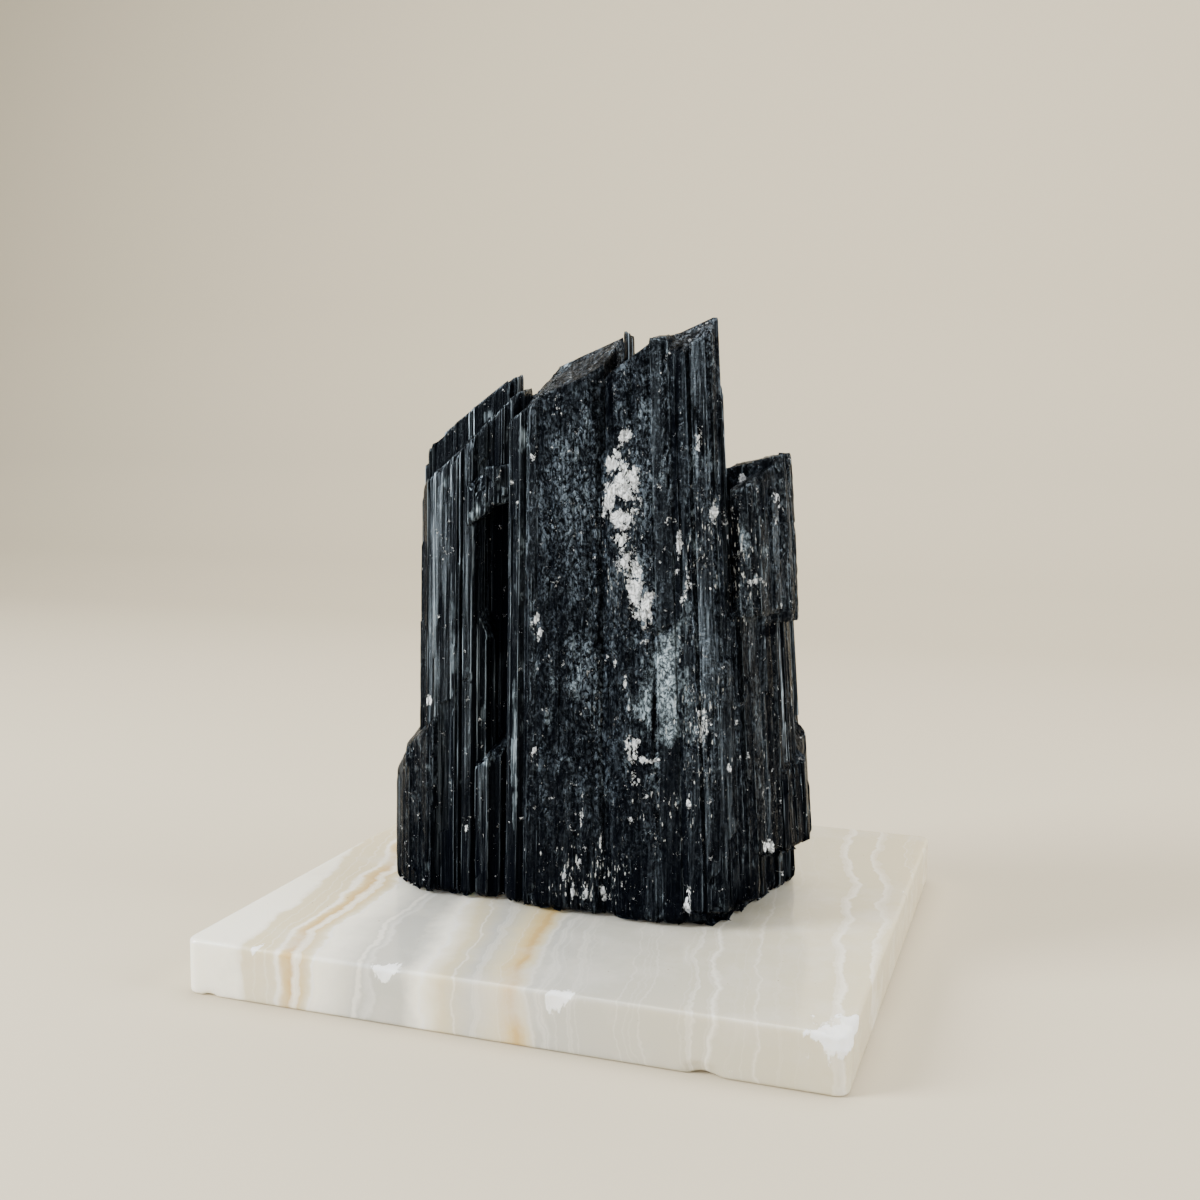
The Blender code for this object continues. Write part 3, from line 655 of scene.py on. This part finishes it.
# Where pale flecks gather: partly pale mineral flecks, partly painted glints
FLECKED_AND_GLINTING = [
    (6, -25, 24, 14, 10, 1), (31, -25, 62, 9, 26, 0.8), (32, -24, 104, 6, 22, 0.8),
    (40, -18, 98, 8, 18, 0.9), (12, -25, 100, 6, 20, 0.9), (22, -25, 42, 12, 10, 0.7),
    (44, -12, 45, 9, 22, 0.6), (-33, -23, 70, 8, 40, 0.2), (8, -25, 64, 8, 20, 0.5),
]


def spread(x, y, z):
    """Moves a place outwards below OUTLINE_HEIGHT and inwards above it, the more the farther out it is."""
    drop = OUTLINE_HEIGHT - z
    return x + SPREAD_X * np.maximum(x - SPREAD_FROM_X, 0.0) * drop, y + SPREAD_Y * y * drop


def break_plane(x, y, shape):
    """The height at which the slanting plane of the break meets each column, once the column is spread."""
    peak, slope = shape["peak"], shape["rise"]
    z = np.full(np.shape(x), float(peak[2]))
    for _ in range(4):
        spread_x, spread_y = spread(x, y, z)
        z = peak[2] + (spread_x - peak[0]) * slope[0] + (spread_y - peak[1]) * slope[1]
    return z


def crack_depth(x, z):
    """How deep the cracks cut at each place: a narrow bell across the nearest crack line."""
    depth = np.zeros(x.shape)
    wobble = 0.9 * smooth_noise(x / 1.4, z / 1.4, 0.0, 301)
    for line, deep in CRACKS:
        for (ax, az), (bx, bz) in zip(line[:-1], line[1:]):
            dx, dz = bx - ax, bz - az
            share = np.clip(((x - ax) * dx + (z - az) * dz) / (dx * dx + dz * dz), 0, 1)
            away = np.hypot(x - ax - share * dx + wobble * 0.5, z + wobble - az - share * dz)
            depth = np.maximum(depth, deep * np.exp(-((away / CRACK_HALF) ** 2)))
    return depth


def striations_round(outline, open_sides, look, fine_step, rng):
    """Cuts the outline's sides in striations of random width and samples each: for every sample, its base
    point, outward direction, side, striation, place along the side, share of the striation and width."""
    along = np.roll(outline, -1, 0) - outline
    length = np.linalg.norm(along, axis=1)
    along /= length[:, None]
    out = np.stack([along[:, 1], -along[:, 0]], -1)
    side_of, start, end, count = [], [], [], []
    for side in range(len(outline)):
        seen = open_sides == 0 or side < open_sides
        strips = max(1, round(length[side] / (look["width"] if seen else 3 * look["width"])))
        cuts = np.cumsum(rng.lognormal(0.0, WIDTH_SPREAD, strips))
        cuts = np.concatenate([[0.0], cuts / cuts[-1]]) * length[side]
        side_of.append(np.full(strips, side))
        start.append(cuts[:-1])
        end.append(cuts[1:])
        step = fine_step if seen else HIDDEN_STEP
        count.append(np.maximum(1, np.round(np.diff(cuts) / step).astype(int)) + 1)
    side_of, start, end, count = (np.concatenate(item) for item in (side_of, start, end, count))
    width = end - start
    strip = np.repeat(np.arange(len(side_of)), count)
    share = np.concatenate([np.linspace(0, 1, n) for n in count])
    first = np.concatenate([[True], side_of[1:] != side_of[:-1]])
    gap_low = np.minimum(np.where(first, CORNER_GAP, EDGE_GAP), 0.3 * width)[strip]
    gap_high = np.minimum(np.where(np.roll(first, -1), CORNER_GAP, EDGE_GAP), 0.3 * width)[strip]
    place = start[strip] + gap_low + share * (width[strip] - gap_low - gap_high)
    side = side_of[strip]
    base = outline[side] + along[side] * place[:, None]
    return base, out[side], side, strip, place, share, width[strip]


def ledges_along(strip, share, width, foot, tall, look, rng):
    """Heights at which each striation steps in or out, slantwise across it, and how far it steps."""
    strips = strip[-1] + 1
    at = foot + rng.random((strips, LEDGE_PLACES)) * tall
    at = at[strip] + ((share - 0.5) * width * rng.uniform(-1.0, 1.0, strips)[strip])[:, None]
    by = rng.normal(0, look["ledge"], (strips, LEDGE_PLACES))
    by *= rng.random((strips, LEDGE_PLACES)) < look["ledges"]
    return at, by[strip]


def rows_up(low, top, rows, at, by):
    """Row heights of each column, evenly spaced from low to top, with two rows drawn to each ledge."""
    z = low[:, None] + np.linspace(0, 1, rows)[None, :] * (top - low)[:, None]
    gap = (top - low) / (rows - 1)
    for place in range(LEDGE_PLACES):
        here = np.floor((at[:, place] - low) / gap).astype(int)
        columns = np.nonzero((here > 1) & (here < rows - 3) & (by[:, place] != 0))[0]
        z[columns, here[columns]] = at[columns, place] - 0.05
        z[columns, here[columns] + 1] = at[columns, place] + 0.05
    return np.sort(z, axis=1)


def stand_out(base, side, strip, place, share, width, z, low, top, at, by, look, rng, seed):
    """How far each point stands out of its side: step + tilt + crown + ledges + waves + furrows + etching,
    less gouges, and less the rounding of the foot and the wear of the rim."""
    strips = strip[-1] + 1
    step = rng.normal(0, look["step"], strips)[strip]
    tilt = rng.normal(0, look["tilt"], strips)[strip] * np.minimum(width, 2.0)
    crown = rng.uniform(0.2, 1.6, strips)[strip] * look["crown"]
    offset = step + tilt * (share - 0.5) + crown * (1 - (2 * share - 1) ** 2)
    offset = np.broadcast_to(offset[:, None], z.shape).copy()
    for ledge in range(LEDGE_PLACES):
        offset += by[:, ledge, None] * (z > at[:, ledge, None])
    around = (place + side * 37.0)[:, None]
    x, y = base[:, :1], base[:, 1:]
    offset += 0.12 * smooth_noise(around / 7.0, z / 26.0, 0.0, seed + 5)
    offset += look["furrow"] * smooth_noise(around / 0.55, z / 7.0, side[:, None] * 5.0, seed + 3)
    offset += look["etch"] * layered_noise(x / 1.3, y / 1.3, z / 1.7, seed + 9, layers=3)
    gouge = smooth_noise(around / 0.8, z / 3.6, 7.0, seed + 11)
    gouge += 0.5 * smooth_noise(x / 6.0, y / 6.0, z / 9.0, seed)
    offset -= look["gouge"] * np.clip(gouge - 0.55, 0, 1)
    foot_round = FOOT_ROUND if low.min() < RAISED_FOOT else RAISED_FOOT_ROUND
    near_foot = np.clip(1 - (z - low[:, None]) / foot_round, 0, 1)
    offset -= 0.55 * foot_round * (1 - np.sqrt(1 - near_foot ** 2))
    near_rim = np.clip(1 - (top[:, None] - z) / RIM_WEAR, 0, 1)
    offset -= 0.25 * near_rim ** 2
    return offset


def break_height(x, y, shape, seed):
    """The slanting break: its plane, terraced in small steps and roughened."""
    swell = layered_noise(x / 4.5, y / 4.5, 0.0, seed + 21)
    terrace = np.floor(3.0 * swell) / 3.0
    rough = 0.45 * terrace + 0.25 * swell + 0.22 * layered_noise(x / 1.1, y / 1.1, 0.0, seed + 22)
    return break_plane(x, y, shape) + rough


def edge_light_and_hollow_shade(offset, out, strip, rows, rng):
    """How far each point lies on an edge, 1, or in a hollow, -1: how much it stands out from its neighbours
    round the crystal, how sharply the crystal turns there, and the rim of most striations. The material
    paints highlights on edges and shade in hollows by it."""
    bend = offset - 0.5 * (np.roll(offset, 1, axis=0) + np.roll(offset, -1, axis=0))
    before, after = np.roll(out, 1, axis=0), np.roll(out, -1, axis=0)
    turn = before[:, 0] * after[:, 1] - before[:, 1] * after[:, 0]
    found = np.clip(bend / 0.09, -1, 1) + 0.7 * turn[:, None]
    lit = (rng.random(strip[-1] + 1) < LIT_RIMS)[strip]
    found[:, rows - 1] = np.where(lit, 1.0, found[:, rows - 1])
    return np.clip(found, -1, 1)


def rings_over_break(rim, drop, shape, row_step, seed):
    """Rings of points that close in over the break from a crystal's rim to its middle, and the middle."""
    centre = rim.mean(axis=0)
    reach = np.linalg.norm(rim[:, :2] - centre[:2], axis=1).mean()
    rings = max(3, int(np.ceil(reach / max(0.7, row_step))))
    inward = np.linspace(0, 1, rings + 1)[None, 1:-1]
    flat = rim[:, None, :2] * (1 - inward[..., None]) + centre[:2] * inward[..., None]
    z = break_height(flat[..., 0], flat[..., 1], shape, seed) - drop[:, None] * (1 - inward) ** 5
    z -= shape["dish"] * np.sin(np.pi / 2 * inward)
    centre[2] = break_height(centre[0], centre[1], shape, seed) - shape["dish"]
    return np.concatenate([flat, z[..., None]], axis=2), centre


def crystal_surface(shape, look, steps, rng, seed):
    """One crystal: a grid of its outline's striations by rows from foot to break, rings over the break and
    a fan under the foot. Also each face's tone, one random number a striation, whether each face is broken,
    and how far each point lies on an edge or in a hollow, for painted highlights and painted shade."""
    outline, foot = np.array(shape["outline"], float), shape["foot"]
    base, out, side, strip, place, share, width = striations_round(
        outline, shape["open_sides"], look, steps["side_step"], rng)
    strips = strip[-1] + 1
    x, y = base.T
    tall = shape["peak"][2] - foot
    drop = np.abs(rng.normal(0, SHORT_SPREAD, strips))
    drop += (rng.random(strips) < WELL_SHORT) * rng.uniform(*WELL_SHORT_BY, strips)
    drop = np.minimum(drop, 0.25 * tall)[strip]
    ragged = np.abs(rng.normal(0, FOOT_SPREAD, strips))[strip]
    ragged += FOOT_SWELL * np.abs(layered_noise(x / 2.5, y / 2.5, 0, 77))
    low = foot + np.minimum(ragged, 0.1 * tall) + shape["foot_rise"] * (x - x.mean())
    top = np.maximum(break_plane(x, y, shape) - drop, low + 1.0)
    rows = max(5, int(np.ceil((top.max() - foot) / steps["row_step"])))
    at, by = ledges_along(strip, share, width, foot, tall, look, rng)
    z = rows_up(low, top, rows, at, by)
    offset = stand_out(base, side, strip, place, share, width, z, low, top, at, by, look, rng, seed)
    if foot < RAISED_FOOT:
        facing = np.clip(-out[:, 1:], 0, 1)
        offset -= crack_depth(np.broadcast_to(base[:, :1], z.shape), z) * facing
    offset = np.clip(offset, DEEPEST, HIGHEST)
    columns = np.stack([x[:, None] + out[:, :1] * offset, y[:, None] + out[:, 1:] * offset, z], axis=2)
    rings, crown = rings_over_break(columns[:, -1], drop, shape, steps["row_step"], seed)
    columns = np.concatenate([columns, rings], axis=1)
    around, up = columns.shape[:2]
    points = np.concatenate([columns.reshape(-1, 3), [crown, (x.mean(), y.mean(), low.mean())]])
    points[:, 0], points[:, 1] = spread(*points.T)

    shade = rng.random(strips)[strip]
    tone = np.concatenate([np.repeat(shade, up - 1), shade, shade])
    broken = np.zeros((around, up - 1))
    broken[:, rows - 1:] = 1.0
    broken = np.concatenate([broken.reshape(-1), np.ones(around), np.zeros(around)])
    edge = np.zeros((around, up))
    edge[:, :rows] = edge_light_and_hollow_shade(offset, out, strip, rows, rng)
    edge = np.append(edge.reshape(-1), (0.0, 0.0))
    return (points, *closed_faces(around, up)), tone, broken, edge


def rib_outline(start, end, stand):
    """Four corners of a narrow crystal between two points of a wall, standing out of it by stand."""
    along = (end - start).normalized()
    out = Vector((along.y, -along.x))
    shoulder = 0.22 * (end - start).length
    return [
        start - out * RIB_ROOT,
        start + along * shoulder + out * stand,
        end - along * shoulder + out * stand * 0.8,
        end - out * RIB_ROOT,
    ]


def ribs_on(crystal, rng):
    """The shape of each narrow crystal on this crystal's open sides, with three open sides of its own."""
    outline = [Vector(corner) for corner in crystal["outline"]]
    foot, slope = crystal["foot"], crystal["rise"]
    usual = dict(open_sides=3, foot_rise=crystal["foot_rise"], dish=0)
    found = []
    for side in range(crystal["open_sides"]):
        a, b = outline[side], outline[(side + 1) % len(outline)]
        count = max(1, round((b - a).length / RIB_PITCH))
        joints = (np.arange(count + 1) + np.pad(rng.uniform(-0.25, 0.25, count - 1), 1)) / count
        for left, right in zip(joints[:-1], joints[1:]):
            start, end = a.lerp(b, left + 0.03), a.lerp(b, right - 0.03)
            stand = crystal["stand"] * rng.uniform(0.45, 1.25)
            x, y, z = crystal["peak"]
            drop = rng.choice(RIB_DROPS, p=RIB_DROP_ODDS) * rng.uniform(0.7, 1.3)
            rise_here = (slope[0] + rng.uniform(-0.15, 0.25), slope[1] + rng.uniform(0.0, 0.4))
            middle = (start + end) / 2
            top = z + slope[0] * (middle.x - x) + slope[1] * (middle.y - y) - drop
            start_z = foot + rng.choice(RIB_STARTS, p=RIB_START_ODDS)
            peak = (middle.x, middle.y, max(top, start_z + RIB_LEAST_TALL))
            corners = rib_outline(start, end, stand)
            found.append(dict(outline=corners, foot=start_z, peak=peak, rise=rise_here, **usual))
    return found


def shells_of(group, name, collection):
    """Every crystal and rib of the group as a closed shell, the first one linked to the scene itself."""
    place_rng = np.random.default_rng(RIB_SEED)
    found = []
    for number, (title, own) in enumerate(CRYSTALS.items()):
        crystal = {**USUAL_CRYSTAL, **own}
        ribs = ribs_on(crystal, place_rng) if crystal["stand"] else []
        if crystal["group"] != group:
            continue
        rng = np.random.default_rng(500 + number)
        look = FINISHES[crystal["finish"]]
        for part, shape in enumerate([crystal, *ribs]):
            seed = 100 * number + part
            shell, tone, broken, edge = crystal_surface(shape, look, GROUPS[group], rng, seed)
            home = collection if found else bpy.context.scene.collection
            obj = new_mesh_object(f"{name} {title} {part}", *shell, collection=home)
            set_values(obj.data, "tone", "FACE", tone)
            set_values(obj.data, "broken", "FACE", broken)
            set_values(obj.data, "etched", "FACE", np.full(len(tone), look["etched"]))
            set_values(obj.data, "edge", "POINT", edge)
            found.append(obj)
    return found


def grown_together(name, group):
    """The group's shells joined in one outer surface, so that nothing is left inside it."""
    collection = bpy.data.collections.new(f"shells of {name}")
    bpy.context.scene.collection.children.link(collection)
    shells = shells_of(group, name, collection)
    join = shells[0].modifiers.new("Grown together", "BOOLEAN")
    join.operation = "UNION"
    join.solver = "MANIFOLD"
    join.operand_type = "COLLECTION"
    join.collection = collection
    joined = bpy.data.meshes.new_from_object(shells[0].evaluated_get(bpy.context.evaluated_depsgraph_get()))
    joined.name = name
    for obj in shells:
        bpy.data.objects.remove(obj, do_unlink=True)
    bpy.data.collections.remove(collection)
    piece = bpy.data.objects.new(name, joined)
    bpy.context.scene.collection.objects.link(piece)
    return piece


def patch_strength(points, patches, power=2.0):
    """How strongly each point lies in a patch: the largest strength * exp(-(across**power + up**power))."""
    found = np.zeros(len(points))
    for x, y, z, wide, tall, strength in patches:
        across = np.abs(points[:, 0] - x) / wide
        up = np.abs(points[:, 2] - z) / tall
        behind = np.clip(np.abs(points[:, 1] - y) - 3.0, 0, None) / 2.0
        found = np.maximum(found, strength * np.exp(-(across ** power + up ** power + behind ** 2)))
    return found


def mark_patches(mesh):
    """Stores where white mineral, painted sheen, painted shade in hollows and pale flecks with painted
    glints lie.
    """
    points = mesh_points(mesh)
    set_values(mesh, "white", "POINT", patch_strength(points, WHITE_MINERAL))
    set_values(mesh, "painted_sheen", "POINT", patch_strength(points, PAINTED_SHEEN))
    set_values(mesh, "deep", "POINT", patch_strength(points, PAINTED_HOLLOW_SHADE, power=4.0))
    set_values(mesh, "flecks_and_glints", "POINT", patch_strength(points, FLECKED_AND_GLINTING))


def tourmaline_material():
    """Black tourmaline: bluish black and glassy along fine striations, slate grey and wrinkled where it is
    etched or broken, with painted highlights on edges and in sheen patches, painted shade in hollows and
    towards the bottom, pale flecks that are partly painted glints, and crusts of white mineral, greyer in
    their creases partly by painted shade."""
    material, shader = new_material("black tourmaline")
    place = place_in(material)
    tone, broken, edge, white, painted_sheen, deep, flecks_and_glints = (
        stored(place, name) for name in ("tone", "broken", "edge", "white", "painted_sheen", "deep", "flecks_and_glints"))
    height = place.along("Z")
    etched = stored(place, "etched") * height.remap(0.02, 0.05, 0.4, 1.0)
    dull = etched.maths("MAXIMUM", broken)
    # Painted shade: the colour and shine grow darker towards the bottom, and nearly black in the
    # hollow-shade patches
    low = height.remap(0.018, 0.075, 0.16, 1.0) * deep.remap(0.1, 0.8, 1.0, 0.03)
    edge *= dull.remap(0, 1, 1.0, 0.3)
    streaks = place.noise(620.0, 3.0, 0.6, (1, 1, 0.045))
    lines = place.noise(2300.0, 2.0, 0.5, (1, 1, 0.016))
    crumple = place.noise(1300.0, 5.0, 0.7, (1, 1, 0.65))
    coarse = place.noise(300.0, 4.0, 0.6, (1, 1, 0.5))
    broad = place.noise(105.0, 3.0, 0.6, (1, 1, 0.35))
    drawn = place.noise(480.0, 3.0, 0.6, (1, 1, 0.09))
    wave = place.noise(640.0, 4.0, 0.5, (1, 1, 0.7), distortion=1.1)
    wrinkle = abs(wave - 0.5).remap(0.0, 0.08)

    glassy = (streaks * 0.55 + lines * 0.45).remap(0.42, 0.64) ** 2.0
    glassy *= (tone ** 4.0).remap(0.0, 0.7, 0.07, 1.9)
    rocky = crumple.remap(0.42, 0.62) * coarse.remap(0.38, 0.6, 0.3, 1.2)
    rocky = rocky * wrinkle.remap(0.1, 0.9, 0.0, 1.3) * drawn.remap(0.38, 0.6, 0.5, 1.45)
    rocky *= broad.remap(0.38, 0.6, 0.45, 1.1)
    # Glossiness, partly the stone's own and partly painted light: raised on edges and lowered in hollows,
    # towards the bottom and in the hollow-shade patches. The colour is lightened with it, a painted
    # highlight and shade.
    shine_and_painted_light = dull.blend(glassy, rocky) * edge.remap(-0.6, 0.9, 0.03, 2.2)
    shine_and_painted_light = (shine_and_painted_light * 0.85 + 0.008) * low
    colour = (shine_and_painted_light * dull.remap(0, 1, 0.5, 1.4)).between(STONE_BLACK, STONE_SLATE)

    # A painted highlight: the sheen patches, less the hollow-shade patches and broken up by noise, lighten
    # the colour
    glint = lines.remap(0.44, 0.6, 0.1, 1) * streaks.remap(0.36, 0.6, 0.25, 1)
    sparkle = crumple.remap(0.4, 0.66, 0.05, 1) * wrinkle.remap(0, 0.9, 0.15, 1)
    glint = dull.remap(0.1, 0.4).blend(glint, sparkle)
    patch = painted_sheen - deep + coarse.remap(0.34, 0.66, -0.42, 0.34)
    painted_sheen_share = patch.remap(0.25, 1.0) * glint
    colour = painted_sheen_share.between(colour, PAINTED_SHEEN_COLOUR)
    # A painted highlight along edges, in pale bluish grey
    painted_edge_share = edge.remap(0.4, 1) * lines.remap(0.5, 0.64, 0.05, 0.9)
    colour = (painted_edge_share * low).between(colour, PAINTED_EDGE_HIGHLIGHT)
    # Pale flecks, partly mineral and partly painted glints
    fleck_and_glint = place.noise(2100.0, 3.0, 0.6, (1, 1, 0.22))
    fleck_and_glint = fleck_and_glint + flecks_and_glints.remap(0, 1, -0.075, 0.065) + coarse.remap(0.35, 0.65, -0.035, 0.035)
    colour = fleck_and_glint.remap(0.655, 0.71, 0, 0.9).between(colour, FLECK_AND_GLINT_COLOUR)

    crust = white + place.noise(380.0, 8.0, 0.75).remap(0.3, 0.7, -0.6, 0.6)
    fissure = abs(coarse - 0.5).remap(0.0, 0.04, -0.9, 0.0).maths("MINIMUM", wrinkle.remap(0, 0.3, -0.3, 0))
    crust = (crust + fissure).remap(0.36, 0.42)
    # The crust is greyer in its pits and wrinkle creases: partly real pits, partly painted shade
    lumps = crumple.remap(0.36, 0.45, 0.7, 1) * wrinkle.remap(0, 0.14, 0.35, 1)
    colour = crust.between(colour, lumps.between(PAINTED_CRUST_CREASE_SHADE, CRUST_WHITE))

    rough = tone.remap(0, 1, 0.1, 0.26) + dull.remap(0, 1, 0, 0.06) + streaks.remap(0.3, 0.7, -0.08, 0.18)
    relief = lines * dull.remap(0, 1, 0.6, 0.1) + streaks * dull.remap(0, 1, 0.9, 0.3)
    relief = relief + crumple * dull.remap(0, 1, 0.4, 1.8) + wrinkle * dull.remap(0, 1, 0.0, 0.7)
    surface = Value(place.tree, "ShaderNodeBump", {"Strength": 1.0, "Distance": 0.0007, "Height": relief})
    raised = {"Strength": 1.0, "Distance": 0.0009, "Height": crust * (lumps + 0.5), "Normal": surface}
    set_inputs(shader, {
        "Base Color": colour,
        "Specular IOR Level": shine_and_painted_light.maths("MAXIMUM", (painted_sheen_share + crust) * 0.5),
        "Specular Tint": (0.74, 0.89, 1.0, 1.0),
        "Roughness": rough.maths("MAXIMUM", crust.remap(0, 1, 0.1, 0.5)),
        "Normal": Value(place.tree, "ShaderNodeBump", raised),
        "IOR": 1.64,
    })
    return material


black = tourmaline_material()
for group in GROUPS:
    piece = grown_together(f"tourmaline_{group}", group)
    mark_patches(piece.data)
    piece.data.materials.clear()
    piece.data.materials.append(black)
    piece.data.shade_smooth()
    piece.data.set_sharp_from_angle(angle=math.radians(STONE_SHARP_DEGREES))
    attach(piece, "root")
    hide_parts("tourmaline")

# The floor, the lights and the camera.
# A pale sweep, a large soft light from the front left, a second from the right, and the photograph's view.

FLOOR_HALF = 1.6
SWEEP_COLOUR = (0.55, 0.473, 0.34, 1.0)
ROOM_COLOUR = (0.86, 0.92, 1.0, 1.0)
floor_profile = [(-FLOOR_HALF, 0.0), (0.55, 0.0), (0.72, 0.02), (0.86, 0.1), (0.92, 0.25), (0.93, 1.6)]
sweep_points = np.array([(x, y, z) for x in (-FLOOR_HALF, FLOOR_HALF) for y, z in floor_profile]) / MM
sweep_count = len(floor_profile)
sweep_quads = np.array([(i, i + sweep_count, i + sweep_count + 1, i + 1) for i in range(sweep_count - 1)])
sweep = new_mesh_object("pale_sweep", sweep_points, sweep_quads, np.zeros((0, 3), int))
pale, pale_shader = new_material("pale sweep")
set_inputs(pale_shader, {"Base Color": SWEEP_COLOUR, "Roughness": 0.8})
sweep.data.materials.append(pale)
sweep.data.shade_smooth()

world = bpy.data.worlds.new("soft room")
world.use_nodes = True
set_inputs(world.node_tree.nodes["Background"], {"Color": ROOM_COLOUR, "Strength": 0.22})
bpy.context.scene.world = world


STONE_MIDDLE = Vector((0.0, 0.0, 0.08))


def soft_light(name, place, size, power, colour):
    """A rectangular light turned to the middle of the stone: its sides are in metres, its power in watts."""
    lamp = bpy.data.lights.new(name, "AREA")
    lamp.shape = "RECTANGLE"
    lamp.size, lamp.size_y = size
    lamp.energy = power
    lamp.color = colour
    obj = bpy.data.objects.new(name, lamp)
    obj.location = place
    obj.rotation_euler = (STONE_MIDDLE - Vector(place)).to_track_quat("-Z", "Y").to_euler()
    bpy.context.scene.collection.objects.link(obj)


soft_light("key", (-0.85, -0.55, 0.55), (0.4, 0.7), 30.0, (0.93, 0.97, 1.0))
soft_light("front", (0.25, -1.1, 0.5), (0.35, 0.6), 7.5, (0.97, 0.98, 1.0))
soft_light("right", (0.95, 0.05, 0.45), (0.5, 0.7), 14.0, (0.92, 0.96, 1.0))
soft_light("over", (0.0, 0.25, 1.0), (0.9, 0.8), 15.0, (1.0, 0.98, 0.95))

CAMERA_PLACE = (0.11346, -0.33548, 0.12799)
CAMERA_LOOKS = Vector((-0.32197, 0.93964, -0.11576))
CAMERA_ROLL_DEGREES = 0.61
CAMERA_LENS_MM = 42.0
camera_data = bpy.data.cameras.new("camera")
camera_data.lens = CAMERA_LENS_MM
camera_data.sensor_width = 36.0
camera_data.clip_start = 0.01
camera = bpy.data.objects.new("camera", camera_data)
turn = CAMERA_LOOKS.to_track_quat("-Z", "Y").to_matrix().to_4x4()
roll = Matrix.Rotation(math.radians(CAMERA_ROLL_DEGREES), 4, "Z")
camera.matrix_world = Matrix.Translation(CAMERA_PLACE) @ turn @ roll
bpy.context.scene.collection.objects.link(camera)
bpy.context.scene.camera = camera
